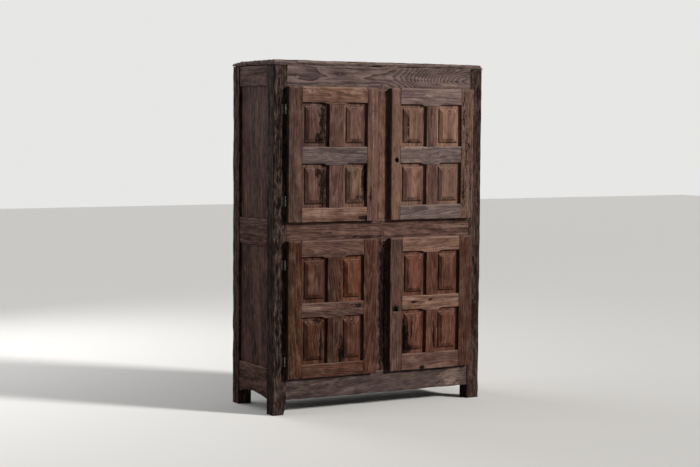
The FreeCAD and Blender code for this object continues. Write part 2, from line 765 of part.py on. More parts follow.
def door_panel(door, left_edge, right_edge, low, high):
    """A panel: a thin board whose edges lie in the grooves, with a bevelled field raised on it.

    The bevel rises from a low upright step, not from the board's own face.
    """
    panel = board(
        f"{door.name} panel",
        Block(
            f"{left_edge} - panel_tongue",
            "door_face + tongue_face",
            f"{low} - panel_tongue",
            f"{right_edge} - ({left_edge}) + 2 * panel_tongue",
            "tongue_thickness",
            f"{high} - ({low}) + 2 * panel_tongue",
        ),
    )
    margin = "panel_margin"
    width = f"({right_edge} - ({left_edge}) - 2 * {margin})"
    height = f"({high} - ({low}) - 2 * {margin})"
    foot = "door_face + tongue_face - panel_step"
    panel.add(Block(f"{left_edge} + {margin}", foot, f"{low} + {margin}", width, "panel_step", height))
    panel.feature(
        "AdditiveWedge",
        f"{left_edge} + {margin}",
        foot,
        f"{low} + {margin}",
        Ymin="panel_field_setback + panel_step - tongue_face",
        Ymax="0",
        Xmin="panel_bevel",
        Xmax=f"{width} - panel_bevel",
        Zmin="panel_bevel",
        Zmax=f"{height} - panel_bevel",
        X2min="0",
        X2max=width,
        Z2min="0",
        Z2max=height,
    )
    return panel


def keyhole(door, pieces):
    """The keyhole in a right door: round on the upper door, a spade on the lower.

    It goes through the free stile and through the middle rail's tenon inside it.
    """
    x = f"{door.x} + {door.own('keyhole_inset')}"
    z = f"{door.rails['middle_rail'][0]} + {door.own('keyhole_rise')}"
    for piece in pieces:
        if door.level == "upper":
            piece.rod("SubtractiveCylinder", x, "door_face", z, "keyhole_radius", "door_thickness")
            continue
        middle, low = f"{x} - ({piece.corner[0]})", f"{z} - ({piece.corner[2]}) - spade_height / 2"
        corners = [
            (f"{middle} - spade_width / 2", low),
            (f"{middle} + spade_width / 2", low, "spade_curve", -1),
            (middle, f"{low} + spade_height", "spade_curve", -1),
        ]
        piece.pierce("XZ_Plane", corners)


def rim_lock(door):
    """A sheet-iron case on the door's back, open towards the door, and the bolt inside it."""
    z = f"{door.rails['middle_rail'][0]} + {door.own('keyhole_rise')}"
    low = f"{z} - lock_height / 2"
    case = board(
        f"{door.name}_lock_case", Block("lock_x", "door_back", low, "lock_width", "lock_depth", "lock_height")
    )
    case.cut(
        Block(
            "lock_x + lock_wall",
            "door_back",
            f"{low} + lock_wall",
            "lock_width - 2 * lock_wall",
            "lock_depth - lock_wall",
            "lock_height - 2 * lock_wall",
        )
    )
    bolt_place = Block(
        "lock_x",
        "door_back + bolt_setback",
        f"{z} + keyhole_radius + lock_wall",
        "bolt_length",
        "bolt_thickness",
        "bolt_height",
    )
    case.cut(grown(bolt_place, "bolt_clearance")._replace(x="lock_x", length="lock_wall"))
    case.add(
        Block(
            "lock_x + lock_width / 2",
            bolt_place.y,
            f"{bolt_place.z} - bolt_clearance - lock_wall",
            "lock_width / 2 - lock_wall",
            "lock_depth - lock_wall - bolt_setback",
            "lock_wall",
        )
    )
    case.keep()
    bolt = board(f"{door.name}_lock_bolt", bolt_place)
    notch_x = "lock_x + bolt_length / 2 - bolt_notch / 2"
    bolt.cut(bolt_place._replace(x=notch_x, length="bolt_notch", height="bolt_height / 2"))
    bolt.keep()
    mortise = grown(bolt_place, "bolt_play")
    mortise = mortise._replace(x="centre_right - bolt_mortise_depth", length="bolt_mortise_depth")
    centre_posts[door.level].cut(mortise)


def hinge_leaf(label, side, blocks, barrels, low):
    """A leaf of a butt hinge: its plate and straps, its rolled knuckles and the bore for the pin."""
    placed = [block if side == "left" else mirrored(block) for block in blocks]
    x = "hinge_x" if side == "left" else "-(hinge_x)"
    leaf = board(label, placed[0])
    for block in placed[1:]:
        leaf.add(block)
    for start in barrels:
        leaf.barrel("AdditiveCylinder", x, "hinge_y", start, "knuckle_radius", "barrel_height")
    leaf.barrel("SubtractiveCylinder", x, "hinge_y", low, "pin_radius + pin_clearance", "hinge_height")
    return leaf


def hinge(door, middle):
    """One butt hinge: a leaf on the post, a leaf on the door's edge, and the pin."""
    low = f"({middle} - hinge_height / 2)"
    second = f"{low} + barrel_height + knuckle_gap"
    third = f"{second} + barrel_height + knuckle_gap"
    plate = Block(
        "hinge_x - leaf_reach", "front - leaf_thickness", low, "leaf_reach", "leaf_thickness", "hinge_height"
    )
    straps = [
        Block("hinge_x - knuckle_radius", "hinge_y", z, "leaf_thickness", "front - hinge_y", "barrel_height")
        for z in (low, third)
    ]
    frame_leaf = hinge_leaf("frame leaf", door.side, [plate, *straps], [low, third], low)
    edge = "hinge_x + knuckle_radius + knuckle_gap"
    plate = Block(edge, "door_back - leaf_reach", low, "leaf_thickness", "leaf_reach", "hinge_height")
    strap = Block(
        "hinge_x",
        "hinge_y - knuckle_radius",
        second,
        "knuckle_radius + knuckle_gap + leaf_thickness",
        "leaf_thickness",
        "barrel_height",
    )
    door_leaf = hinge_leaf("door leaf", door.side, [plate, strap], [second], low)
    x = "hinge_x" if door.side == "left" else "-(hinge_x)"
    pin = Piece("hinge pin", x, "hinge_y", low)
    pin.barrel("AdditiveCylinder", x, "hinge_y", low, "pin_radius", "hinge_height")
    for z in (f"{low} - pin_head_height", f"{low} + hinge_height"):
        pin.barrel("AdditiveCylinder", x, "hinge_y", z, "pin_head_radius", "pin_head_height")
    return frame_leaf, door_leaf, pin


def make_door(door):
    """All the pieces of one door, and the frame's half of its hinges."""
    height = f"{door.high} - ({door.low})"
    stiles = {}
    for word, x in door.stiles:
        place = Block(x, "door_face", door.low, door.own(word), "door_thickness", height)
        stiles[word] = board(f"{door.name}_{word}", place).keep()
    first, last = (stiles[word] for word, _ in door.stiles)
    rails = []
    for name, (low, rail_height) in door.rails.items():
        rail = door_rail(door, name)
        for holder, x in ((first, f"{door.inner} - door_tenon_length"), (last, door.inner_end)):
            tenon = Block(
                x,
                "door_face + door_tenon_setback",
                f"{low} + door_shoulder",
                "door_tenon_length",
                "door_tenon_thickness",
                f"{rail_height} - 2 * door_shoulder",
            )
            joined(rail, holder, tenon)
        rails.append(rail)
    group(f"{door.name}_rails", rails)
    groove_low, groove_high = door.rows[0][0], door.rows[1][1]
    for stile, x in ((first, f"{door.inner} - groove_depth"), (last, door.inner_end)):
        stile.cut(
            Block(
                x,
                "door_face + groove_setback",
                f"{groove_low} - groove_depth",
                "groove_depth",
                "groove_width",
                f"{groove_high} - ({groove_low}) + 2 * groove_depth",
            )
        )
    muntin_end = f"{door.muntin} + {door.own('muntin')}"
    muntins, panels = [], []
    for low, high in door.rows:
        muntins.append(door_muntin(door, low, high))
        panels.append(door_panel(door, door.inner, door.muntin, low, high))
        panels.append(door_panel(door, muntin_end, door.inner_end, low, high))
    group(f"{door.name}_muntins", muntins)
    group(f"{door.name}_panels", panels)
    if door.side == "right":
        keyhole(door, (stiles["free_stile"], rails[1]))
        rim_lock(door)
    places = (f"{door.high} - {door.own('top_hinge')}", f"{door.low} + {door.own('bottom_hinge')}")
    return [hinge(door, middle) for middle in places]


hinge_pins = []
for level in ("upper", "lower"):
    for side in ("left", "right"):
        door = Door(level, side)
        frame_leaves, door_leaves, pins = zip(*make_door(door))
        group(f"{door.name}_frame_leaves", frame_leaves)
        group(f"{door.name}_door_leaves", door_leaves)
        hinge_pins.extend(pins)
group("hinge_pins", hinge_pins)

doc.recompute()
for thing in doc.Objects:
    if "Invalid" in thing.State or "Error" in thing.State:
        raise RuntimeError(f"{thing.Label} failed: {thing.State}")
for label, part in PARTS.items():
    if part.Shape.isNull() or not part.Shape.isValid():
        raise RuntimeError(f"{label} has no sound shape")

os.makedirs("parts", exist_ok=True)
for label, part in PARTS.items():
    part.Shape.exportStep(os.path.join("parts", label + ".step"))
print(f"{len(PARTS)} pieces and groups of pieces, {sum(len(p.Shape.Solids) for p in PARTS.values())} solids")
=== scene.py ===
# %% [markdown]
# # A trastero, dressed over its measured frame
# A trastero is a tall kitchen cupboard of old, reused boards: four corner posts, front and side
# rails between them, and four doors that each hold four raised panels.
# The carpentry is already drawn to size in CAD, so this lesson starts from that frame. It turns each
# clean solid into a worn board, gives the boards and the ironwork their finishes, and lights them.

# %% Load the frame
import json
import math

import bmesh
import bpy
from mathutils import Euler, Matrix, Vector
from mathutils.kdtree import KDTree


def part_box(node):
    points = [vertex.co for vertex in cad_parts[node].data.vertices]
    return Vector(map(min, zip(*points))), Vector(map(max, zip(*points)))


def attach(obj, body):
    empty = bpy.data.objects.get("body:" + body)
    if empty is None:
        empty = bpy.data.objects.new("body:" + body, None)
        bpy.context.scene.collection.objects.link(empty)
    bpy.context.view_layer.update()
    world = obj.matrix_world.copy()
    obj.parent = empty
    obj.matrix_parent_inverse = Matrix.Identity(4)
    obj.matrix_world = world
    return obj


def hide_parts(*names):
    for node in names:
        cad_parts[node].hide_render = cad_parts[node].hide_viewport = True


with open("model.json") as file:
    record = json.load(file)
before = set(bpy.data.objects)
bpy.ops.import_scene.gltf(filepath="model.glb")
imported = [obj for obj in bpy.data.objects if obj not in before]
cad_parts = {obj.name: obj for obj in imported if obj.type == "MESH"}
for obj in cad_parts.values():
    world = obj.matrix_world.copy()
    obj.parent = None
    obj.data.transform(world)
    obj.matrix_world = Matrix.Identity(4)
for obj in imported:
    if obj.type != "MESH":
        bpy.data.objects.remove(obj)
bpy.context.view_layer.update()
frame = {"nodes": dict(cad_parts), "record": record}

# %% [markdown]
# ## Helpers for picking things up
# An operator works on everything that is selected, and the frame arrives selected, so each step first
# lets go of all and takes one piece. The body that a piece rides on is looked up in the record, so
# that a board always swings with the door it belongs to.

# %% Selecting and looking up
BODY_OF = {node: body for body, nodes in frame["record"]["behaviour"]["bodies"].items() for node in nodes}
MM = 0.001
# Points nearer than WELD are one, and a point within ON_FACE of a face lies on it. Faces that differ by
# less than FLAT are one, an edge bent by more than TURNED counts as an arris or a corner, and one bent by
# less than SMOOTH is shaded smooth.
WELD, ON_FACE = 0.01 * MM, 0.02 * MM
FLAT, TURNED, SMOOTH = math.radians(1), math.radians(18), math.radians(42)


def take(*pieces):
    """Selects these pieces and nothing else; the first becomes the active one."""
    bpy.ops.object.select_all(action="DESELECT")
    for piece in pieces:
        piece.select_set(True)
    bpy.context.view_layer.objects.active = pieces[0]


def extent(piece):
    """The lowest and the highest corner of a piece's mesh."""
    corners = [vertex.co for vertex in piece.data.vertices]
    return (Vector(min(c[axis] for c in corners) for axis in range(3)),
            Vector(max(c[axis] for c in corners) for axis in range(3)))


def centre(piece):
    lo, hi = extent(piece)
    return (lo + hi) / 2


# %% [markdown]
# ## Boards out of solids
# Each wooden solid could be modelled again from a cube, but its tenons, grooves, keyhole and shaped
# edges are all there in the CAD. A copy of its mesh is taken instead: the loose triangles are merged,
# flat faces are made whole again, and a node with several boards comes apart into one piece each.

# %% From a node to its boards
def boards_of(node, names):
    """Copies a node and parts it into boards, named in order of height and then from left to right."""
    copy = bpy.data.objects.new(names[0], frame["nodes"][node].data.copy())
    copy.data.materials.clear()
    bpy.context.scene.collection.objects.link(copy)
    take(copy)
    bpy.ops.object.mode_set(mode="EDIT")
    bpy.ops.mesh.select_all(action="SELECT")
    bpy.ops.mesh.remove_doubles(threshold=WELD)
    bpy.ops.mesh.dissolve_limited(angle_limit=FLAT)
    if len(names) > 1:
        bpy.ops.mesh.separate(type="LOOSE")
    bpy.ops.object.mode_set(mode="OBJECT")
    boards = sorted(bpy.context.selected_objects,
                    key=lambda board: (round(centre(board).z, 1), centre(board).x, centre(board).y))
    if len(boards) != len(names):
        raise ValueError(f"{node} has {len(boards)} boards, not {len(names)}")
    for board, name in zip(boards, names):
        board.name = board.data.name = name
        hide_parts(node)
        board["node"] = node
    return boards


# %% [markdown]
# ## Arrises, and a net of cuts
# The sharp arris of a new board is the first thing that a century of hands and brooms takes off.
# A bevel does that, only on the edges round a board's own faces and not down in its mortises.
# After that the board is cut into a net with bisect, close across the grain and wide along it.
# Wear on wood runs along the grain, so the net spends its faces where the surface changes.
# Axes are numbered 0 for X, 1 for Y and 2 for Z, and a board's grain is one of them.

# %% Easing arrises and cutting the net
def ease(board, radius, thick=1, least=60, both=False, rim=None):
    """Bevels the edges sharper than least degrees on the faces that lie across the axis thick.

    With both, only the arrises of the board's own box are bevelled. rim is the box of the frame that the
    board belongs to, and then only edges on its outside are bevelled.
    """
    lo, hi = extent(board)
    bpy.ops.object.mode_set(mode="EDIT")
    bpy.ops.mesh.select_mode(type="EDGE")
    bpy.ops.mesh.select_all(action="DESELECT")
    mesh = bmesh.from_edit_mesh(board.data)

    def on_side(edge, axis, sides):
        return any(all(abs(v.co[axis] - side[axis]) < ON_FACE for v in edge.verts) for side in sides)

    picked = 0
    for edge in mesh.edges:
        if edge.is_manifold and edge.calc_face_angle(0) > math.radians(least):
            count = sum(on_side(edge, axis, (lo, hi)) for axis in range(3))
            wanted = count > 1 if both else on_side(edge, thick, (lo, hi))
            if rim:
                wanted = wanted and (on_side(edge, 0, rim) or on_side(edge, 2, rim))
            edge.select_set(wanted)
            picked += wanted
    bmesh.update_edit_mesh(board.data)
    if picked:
        bpy.ops.mesh.bevel(offset=radius, segments=2, affect="EDGES", clamp_overlap=True)
    bpy.ops.object.mode_set(mode="OBJECT")


def chip(board, place, outward):
    """Splits a corner off along a plane, as a knock does, and closes the cut."""
    take(board)
    bpy.ops.object.mode_set(mode="EDIT")
    bpy.ops.mesh.select_all(action="SELECT")
    bpy.ops.mesh.bisect(plane_co=place, plane_no=outward, use_fill=True, clear_outer=True)
    bpy.ops.mesh.select_all(action="SELECT")
    bpy.ops.mesh.normals_make_consistent(inside=False)
    bpy.ops.object.mode_set(mode="OBJECT")


def pitch_along(grain, long, short):
    """The size of a net's cells, long with the grain and short across it."""
    return [long if axis == grain else short for axis in range(3)]


def net(board, pitch):
    """Bisects a board into cells of about pitch along each axis."""
    lo, hi = extent(board)
    bpy.ops.object.mode_set(mode="EDIT")
    for axis in range(3):
        cuts = round((hi[axis] - lo[axis]) / pitch[axis])
        for cut in range(1, cuts):
            place, facing = Vector(), Vector()
            place[axis] = lo[axis] + (hi[axis] - lo[axis]) * cut / cuts
            facing[axis] = 1
            bpy.ops.mesh.select_all(action="SELECT")
            bpy.ops.mesh.bisect(plane_co=place, plane_no=facing)
    bpy.ops.object.mode_set(mode="OBJECT")


# %% [markdown]
# ## Where a board is rubbed, where dirt stays, and where shade and highlights are painted
# Both the shape and the colour of the wear need to know how near an arris is. Each vertex where
# the surface turns outwards is put in a search tree, and every vertex gets a value from its distance
# to the nearest one. The value is kept twice: as a vertex group, which limits a Displace modifier, and
# as an attribute, which a material can read and which also carries a painted highlight. A second tree
# holds the corners that turn inwards, where old wax and dust stay and where shade falls, and gives an
# attribute of dirt and painted shade. A leaning face, such as a panel's bevel, gets dirt and painted
# shade too, least where it looks up. Another group keeps the wear off the faces that bear on another
# piece, so joints stay shut and feet stay on the floor. Arrises that look up are painted palest, partly
# for more rubbing and partly as a painted highlight of the light from above.

# %% Marking the arrises, the open faces and the blemishes
# How far dirt and painted shade reach from an inner corner.
DIRT_AND_SHADE_REACH = 6 * MM
# How much an arris is paled for rubbing, and how much more as a painted highlight where it looks up.
ARRIS_RUB, UPPER_HIGHLIGHT = 0.5, 2.4
# A face tilted up by more than the first value keeps only the second share of the painted shade.
LEDGE_TILT, LEDGE_SHADE_SHARE = 0.2, 0.15
FAR_AWAY = Vector((9, 9, 9))


def spot(place, blemish):
    """How strongly a blemish is felt at a place, from 0 to its own amount."""
    _, x, z, half_x, half_z, amount = blemish
    return amount * math.exp(-((place.x - x) / half_x) ** 2 - ((place.z - z) / half_z) ** 2)


def turns(mesh, outwards):
    """A search tree of the vertices on edges where the surface turns outwards, or inwards."""
    def sharp(edge):
        return edge.is_manifold and edge.is_convex == outwards and edge.calc_face_angle(0) > TURNED

    places = [vertex.co.copy() for vertex in mesh.verts if any(sharp(edge) for edge in vertex.link_edges)]
    tree = KDTree(max(1, len(places)))
    for index, place in enumerate(places or [FAR_AWAY]):
        tree.insert(place, index)
    tree.balance()
    return tree


def mark(board, reach, hold, blemishes, slope_dirt_and_shade=0.0):
    """Writes the groups "open", "arris" and "rot", and two attributes: wear with a painted highlight, and
    dirt with painted shade.

    hold(place, normal) gives how far a place is open to the weather, and how far its arris is.
    The slope amount darkens a face that leans, such as a panel's bevel, as dirt and painted shade, least
    where it looks up.
    """
    mesh = bmesh.new()
    mesh.from_mesh(board.data)
    arrises, corners = turns(mesh, True), turns(mesh, False)
    mesh.free()
    groups = [board.vertex_groups.new(name=name) for name in ("open", "arris", "rot")]
    eaten = [blemish for blemish in blemishes if blemish[0] in ("knot", "rot")]
    wear_and_highlight_values, grime = [], []
    for vertex in board.data.vertices:
        arris, _, gap = arrises.find(vertex.co)
        near = max(0.0, 1 - gap / reach)
        looks_up = max(0.0, min(1.0, vertex.normal.z + 2 * (arris.z - vertex.co.z) / reach))
        open_share, arris_share = hold(vertex.co, vertex.normal)
        rot = min(1.0, sum(spot(vertex.co, blemish) for blemish in eaten))
        for group_of, weight in zip(groups, (open_share, near * arris_share, rot * open_share)):
            group_of.add([vertex.index], weight, "REPLACE")
        # Arrises that look up are painted paler as a highlight, on top of their rubbing.
        wear_and_highlight_values.append(near * (ARRIS_RUB * arris_share + UPPER_HIGHLIGHT * looks_up * open_share))
        # Leaning faces get dirt and painted shade, little where they look up; inner corners get the same near
        # them.
        shade_share = LEDGE_SHADE_SHARE if vertex.normal.z > LEDGE_TILT else 1.0
        leaning_dirt_and_shade = slope_dirt_and_shade * (1 - abs(vertex.normal.y)) * shade_share
        grime.append(max(leaning_dirt_and_shade, 1 - corners.find(vertex.co)[2] / DIRT_AND_SHADE_REACH, 0.0))
    for name, values in (("worn", wear_and_highlight_values), ("grime", grime)):
        board.data.attributes.new(name, "FLOAT", "POINT").data.foreach_set("value", values)


# %% [markdown]
# ## Wearing the surface down
# Weather takes the soft wood out between the hard rings, so the ridges follow the grain. A Displace
# modifier can do that if its texture is stretched. It reads the texture through an empty, and the
# empty is scaled long along the grain and short across it. Three layers add up on every board: the
# sway of a hand-planed face, the ridges of the grain, and bites out of the arrises. A fourth eats into
# boards with blemishes. The layers take wood away, and only the posts and the top boards may also
# swell by a little, so a worn board fits where its solid did.

# %% Layers of wear
def cloud(name, kind, depth, contrast, worn_metal_and_highlight=1.0):
    texture = bpy.data.textures.new(name, "CLOUDS")
    texture.noise_scale = 1
    texture.noise_type = kind
    texture.noise_depth = depth
    texture.contrast = contrast
    texture.intensity = worn_metal_and_highlight
    texture.use_clamp = True
    return texture


# How wide a sway is across the grain, and how wide and how long a bite and an eaten patch are.
SWAY_WIDTH = 90 * MM
BITE_SIZE = (16 * MM, 70 * MM)
ROT_SIZE = (6 * MM, 50 * MM)
STRIDES = (0.731, 1.173, 0.467)
SWAY = cloud("sway of the plane", "SOFT_NOISE", 1, 1.6)
RIDGES = cloud("ridges of the grain", "HARD_NOISE", 3, 1.8)
BITES = cloud("bites in the arris", "SOFT_NOISE", 2, 3.2)
ROT = cloud("eaten wood", "HARD_NOISE", 2, 2.2, 0.8)
guide = bpy.data.objects.new("grain guide", None)
bpy.context.scene.collection.objects.link(guide)


def weather(board, grain, seed, layers):
    """Applies the layers (texture, depth, width across, length along, group, swell) to a board.

    A seed only has to differ from board to board. It sets where in the texture the board lies.
    """
    take(board)
    for number, (texture, depth, across, along, group_name, swell) in enumerate(layers):
        guide.scale = [along if axis == grain else across for axis in range(3)]
        guide.location = Vector([seed * stride for stride in STRIDES]) * (number + 1)
        bpy.context.view_layer.update()
        wear = board.modifiers.new("wear", "DISPLACE")
        wear.texture = texture
        wear.texture_coords = "OBJECT"
        wear.texture_coords_object = guide
        wear.mid_level = 1 - swell
        wear.strength = depth
        wear.vertex_group = group_name
        bpy.ops.object.modifier_apply(modifier=wear.name)


def wear_layers(sway, ridges, bites, across=9 * MM, long=14, sway_length=0.35, rot=2.4, swell=0.0):
    """The usual layers, with their depths in millimetres; swell is the share that lies outside the solid."""
    return ((SWAY, sway * MM, SWAY_WIDTH, sway_length, "open", swell),
            (RIDGES, ridges * MM, across, across * long, "open", swell),
            (BITES, bites * MM, *BITE_SIZE, "arris", 0.0),
            (ROT, rot * MM, *ROT_SIZE, "rot", 0.0))


def bare(place, normal):
    """The hold of a board that is open to the weather all round."""
    return 1.0, 1.0


def finish_board(board, grain, pitch, radius, layers, seed, hold=bare, reach=8 * MM, rim=None, rim_radius=0,
                 slope_dirt_and_shade=0.0, **which):
    """The whole journey of one board, from clean solid to worn piece on its body."""
    take(board)
    if rim:
        ease(board, rim_radius, rim=rim, **which)
    ease(board, radius, **which)
    net(board, pitch)
    mark(board, reach, hold, BLEMISHES.get(board.name, ()), slope_dirt_and_shade)
    weather(board, grain, seed, layers if board.name in BLEMISHES else layers[:3])
    bpy.ops.object.shade_smooth_by_angle(angle=SMOOTH)
    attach(board, BODY_OF[board["node"]])


# %% [markdown]
# ## Knots, swirls and eaten wood
# Every board has its own history. A knot is a dark heart with the rings bent round it, a swirl is the
# bend alone, rot is a ragged dark patch where worms and damp have eaten the wood, and a pale patch is
# bleached; a few pale patches along the top arrises of rails are also painted highlights. The same list
# serves the mesh, which loses wood at knots and rot, and the finish, which darkens or bleaches the wood
# there.

# %% Blemishes by board
# Each row gives the kind, the middle's x and z, half the width and half the height in metres, and the
# amount. A swirl with a negative amount bends the rings the other way.
BLEMISHES = {
    "front_top_rail_timber": [
        ("swirl", 0.60, 1.820, 0.36, 0.60, -2.0), ("pale", 0.46, 1.785, 0.07, 0.014, 0.7)],
    "front_middle_rail_timber": [
        ("rot", -0.12, 0.947, 0.15, 0.009, 0.55),
        ("knot", -0.073, 0.971, 0.005, 0.005, 0.9), ("pale", 0.47, 0.985, 0.14, 0.012, 0.7)],
    "front_bottom_rail_timber": [
        ("swirl", 0.43, 0.130, 0.10, 0.035, 0.5), ("pale", 0.47, 0.139, 0.06, 0.05, 1.3),
        ("knot", -0.266, 0.131, 0.005, 0.005, 0.9), ("knot", -0.067, 0.116, 0.005, 0.005, 0.9),
        ("knot", -0.013, 0.145, 0.004, 0.004, 0.9)],
    "lower_centre_post_timber": [("rot", 0.012, 0.56, 0.020, 0.36, 1.3)],
    "front_right_post_timber": [
        ("rot", 0.635, 0.71, 0.018, 0.12, 0.45), ("rot", 0.625, 0.47, 0.022, 0.15, 0.5),
        ("rot", 0.635, 1.20, 0.016, 0.16, 0.3), ("rot", 0.64, 1.62, 0.014, 0.10, 0.3)],
    "upper_left_top_rail_board": [
        ("pale", -0.170, 1.737, 0.050, 0.024, 1.0), ("pale", -0.460, 1.742, 0.055, 0.016, 0.8),
        ("knot", -0.447, 1.738, 0.010, 0.007, 1.0), ("knot", -0.179, 1.726, 0.007, 0.006, 0.9)],
    "upper_left_upper_left_panel_board": [
        ("rot", -0.380, 1.57, 0.026, 0.12, 0.85), ("rot", -0.400, 1.485, 0.034, 0.030, 0.9)],
    "upper_left_lower_left_panel_board": [
        ("rot", -0.376, 1.23, 0.026, 0.13, 0.85), ("rot", -0.408, 1.30, 0.024, 0.030, 0.8)],
    "upper_left_lower_right_panel_board": [
        ("rot", -0.116, 1.25, 0.022, 0.11, 0.9), ("rot", -0.15, 1.165, 0.03, 0.013, 0.6)],
    "upper_left_middle_rail_board": [
        ("swirl", -0.34, 1.400, 0.035, 0.022, 0.5),
        ("knot", -0.318, 1.381, 0.006, 0.006, 0.9), ("knot", -0.326, 1.428, 0.008, 0.006, 0.8)],
    "upper_left_bottom_rail_board": [
        ("pale", -0.420, 1.083, 0.075, 0.020, 1.1), ("pale", -0.200, 1.088, 0.055, 0.016, 1.2),
        ("rot", -0.123, 1.052, 0.032, 0.013, 1.4), ("knot", -0.385, 1.094, 0.014, 0.009, 0.8)],
    "upper_left_free_stile_board": [
        ("rot", -0.084, 1.17, 0.010, 0.05, 0.8), ("pale", -0.070, 1.50, 0.007, 0.28, 0.8)],
    # The first pale patch lies along the rail's top arris: partly bleached wood, partly a painted highlight.
    "upper_right_top_rail_board": [
        ("pale", 0.386, 1.752, 0.070, 0.010, 1.3), ("pale", 0.30, 1.72, 0.05, 0.012, 0.7)],
    "upper_right_upper_left_panel_board": [
        ("knot", 0.169, 1.467, 0.016, 0.014, 1.0), ("rot", 0.157, 1.56, 0.008, 0.09, 0.8)],
    "upper_right_hinge_stile_board": [
        ("rot", 0.522, 1.62, 0.020, 0.14, 0.45), ("rot", 0.548, 1.44, 0.020, 0.20, 0.42),
        ("rot", 0.527, 1.17, 0.022, 0.13, 0.5), ("rot", 0.570, 1.25, 0.014, 0.20, 0.4)],
    "upper_right_free_stile_board": [
        ("rot", 0.083, 1.366, 0.012, 0.014, 0.9),
        ("knot", 0.076, 1.183, 0.006, 0.005, 1.0), ("knot", 0.084, 1.172, 0.004, 0.005, 1.0)],
    "upper_right_middle_rail_board": [
        ("pale", 0.200, 1.434, 0.09, 0.008, 1.0), ("knot", 0.250, 1.426, 0.012, 0.008, 0.9),
        ("swirl", 0.300, 1.39, 0.04, 0.02, 0.5)],
    "lower_left_middle_rail_board": [
        ("pale", -0.455, 0.576, 0.070, 0.018, 1.0), ("pale", -0.290, 0.548, 0.05, 0.012, 0.8),
        ("rot", -0.153, 0.574, 0.020, 0.010, 1.1), ("swirl", -0.25, 0.56, 0.04, 0.02, 0.5)],
    "lower_left_lower_left_panel_board": [
        ("rot", -0.405, 0.500, 0.03, 0.012, 0.8), ("rot", -0.387, 0.36, 0.010, 0.09, 1.0)],
    "lower_left_lower_muntin_board": [("rot", -0.264, 0.300, 0.016, 0.060, 1.1)],
    "lower_left_lower_right_panel_board": [
        ("rot", -0.256, 0.320, 0.016, 0.070, 1.4), ("rot", -0.262, 0.285, 0.026, 0.024, 1.3)],
    "lower_left_hinge_stile_board": [("knot", -0.524, 0.576, 0.010, 0.009, 0.7)],
    "lower_right_lower_left_panel_board": [
        ("rot", 0.145, 0.36, 0.024, 0.11, 1.3), ("rot", 0.165, 0.315, 0.030, 0.030, 1.1),
        ("rot", 0.190, 0.42, 0.007, 0.07, 0.9), ("knot", 0.168, 0.517, 0.014, 0.008, 0.9)],
    "lower_right_free_stile_board": [("rot", 0.086, 0.543, 0.020, 0.016, 1.3)],
    "lower_right_top_rail_board": [("pale", 0.40, 0.865, 0.08, 0.014, 0.7)],
    # The two pale patches lie along the rail's top arris: partly bleached wood, partly a painted highlight.
    "lower_right_middle_rail_board": [
        ("pale", 0.167, 0.590, 0.045, 0.014, 1.1), ("pale", 0.473, 0.586, 0.050, 0.020, 0.9),
        ("rot", 0.202, 0.574, 0.022, 0.006, 1.0), ("rot", 0.309, 0.585, 0.017, 0.007, 1.0)],
    "lower_right_bottom_rail_board": [
        ("pale", 0.190, 0.248, 0.055, 0.016, 0.9), ("rot", 0.259, 0.203, 0.013, 0.012, 1.4)],
    "lower_right_lower_muntin_board": [
        ("pale", 0.310, 0.38, 0.009, 0.07, 0.8), ("rot", 0.336, 0.37, 0.008, 0.08, 1.0)],
    "lower_right_upper_muntin_board": [("knot", 0.312, 0.639, 0.008, 0.008, 0.8)],
}
print("boards with blemishes:", len(BLEMISHES))

# %% [markdown]
# ## The colours of old wood
# The boards come from many places, so their tones differ: tan pine, reddish mesquite brown, grey
# planks that stood in the rain. Eight tones cover them, each with a light, a middle and a dark
# colour, written as the values that a screen shows and turned into linear light here.

# %% Tones
def linear(red, green, blue):
    """Turns screen values from 0 to 255 into the linear colour that shaders work with."""
    values = [v / 255 for v in (red, green, blue)]
    return tuple(v / 12.92 if v <= 0.04045 else ((v + 0.055) / 1.055) ** 2.4 for v in values) + (1,)


TONES = {
    "tan": ((140, 106, 90), (112, 83, 70), (54, 36, 29)),
    "warm": ((118, 86, 76), (91, 65, 57), (42, 27, 23)),
    "red": ((120, 76, 59), (94, 57, 44), (41, 21, 15)),
    "orange": ((122, 75, 52), (92, 54, 38), (39, 20, 13)),
    "grey": ((124, 105, 101), (94, 78, 75), (42, 32, 31)),
    "slate": ((118, 102, 98), (92, 78, 75), (46, 37, 36)),
    "umber": ((112, 82, 74), (62, 41, 36), (17, 9, 8)),
    "plain": ((122, 98, 80), (94, 73, 59), (50, 37, 30)),
}
print("tones:", ", ".join(TONES))

# %% [markdown]
# ## Building materials in code
# A material is a tree of nodes. Small helpers keep the code readable. The first adds a node and fills
# in its sockets, with a link where the value is another node's output. The next ones add the kinds
# that come up again and again, and the last makes a group with its named sockets.

# %% Node helpers
def add(tree, kind, inputs=(), **settings):
    """Adds a node; inputs maps a socket's name or number to a value or to an output to link."""
    node = tree.nodes.new("ShaderNode" + kind)
    for name, value in settings.items():
        setattr(node, name, value)
    for socket, value in dict(inputs).items():
        if isinstance(value, bpy.types.NodeSocket):
            tree.links.new(value, node.inputs[socket])
        else:
            node.inputs[socket].default_value = value
    return node


def math_node(tree, operation, first, second=0.0):
    return add(tree, "Math", {0: first, 1: second}, operation=operation).outputs[0]


def vector_math(tree, operation, first, second):
    return add(tree, "VectorMath", {0: first, 1: second}, operation=operation).outputs[0]


def stretch(tree, vector, across, along):
    """Scales a place so that a pattern is short across the grain and long along it, the group's Z."""
    return vector_math(tree, "MULTIPLY", vector, (across, across, along))


def noise(tree, vector, across, along, detail=2.0, roughness=0.5):
    """Noise with so many lumps to a metre across the grain and along it."""
    place = stretch(tree, vector, across, along)
    settings = {"Vector": place, "Scale": 1.0, "Detail": detail, "Roughness": roughness}
    return add(tree, "TexNoise", settings).outputs[0]


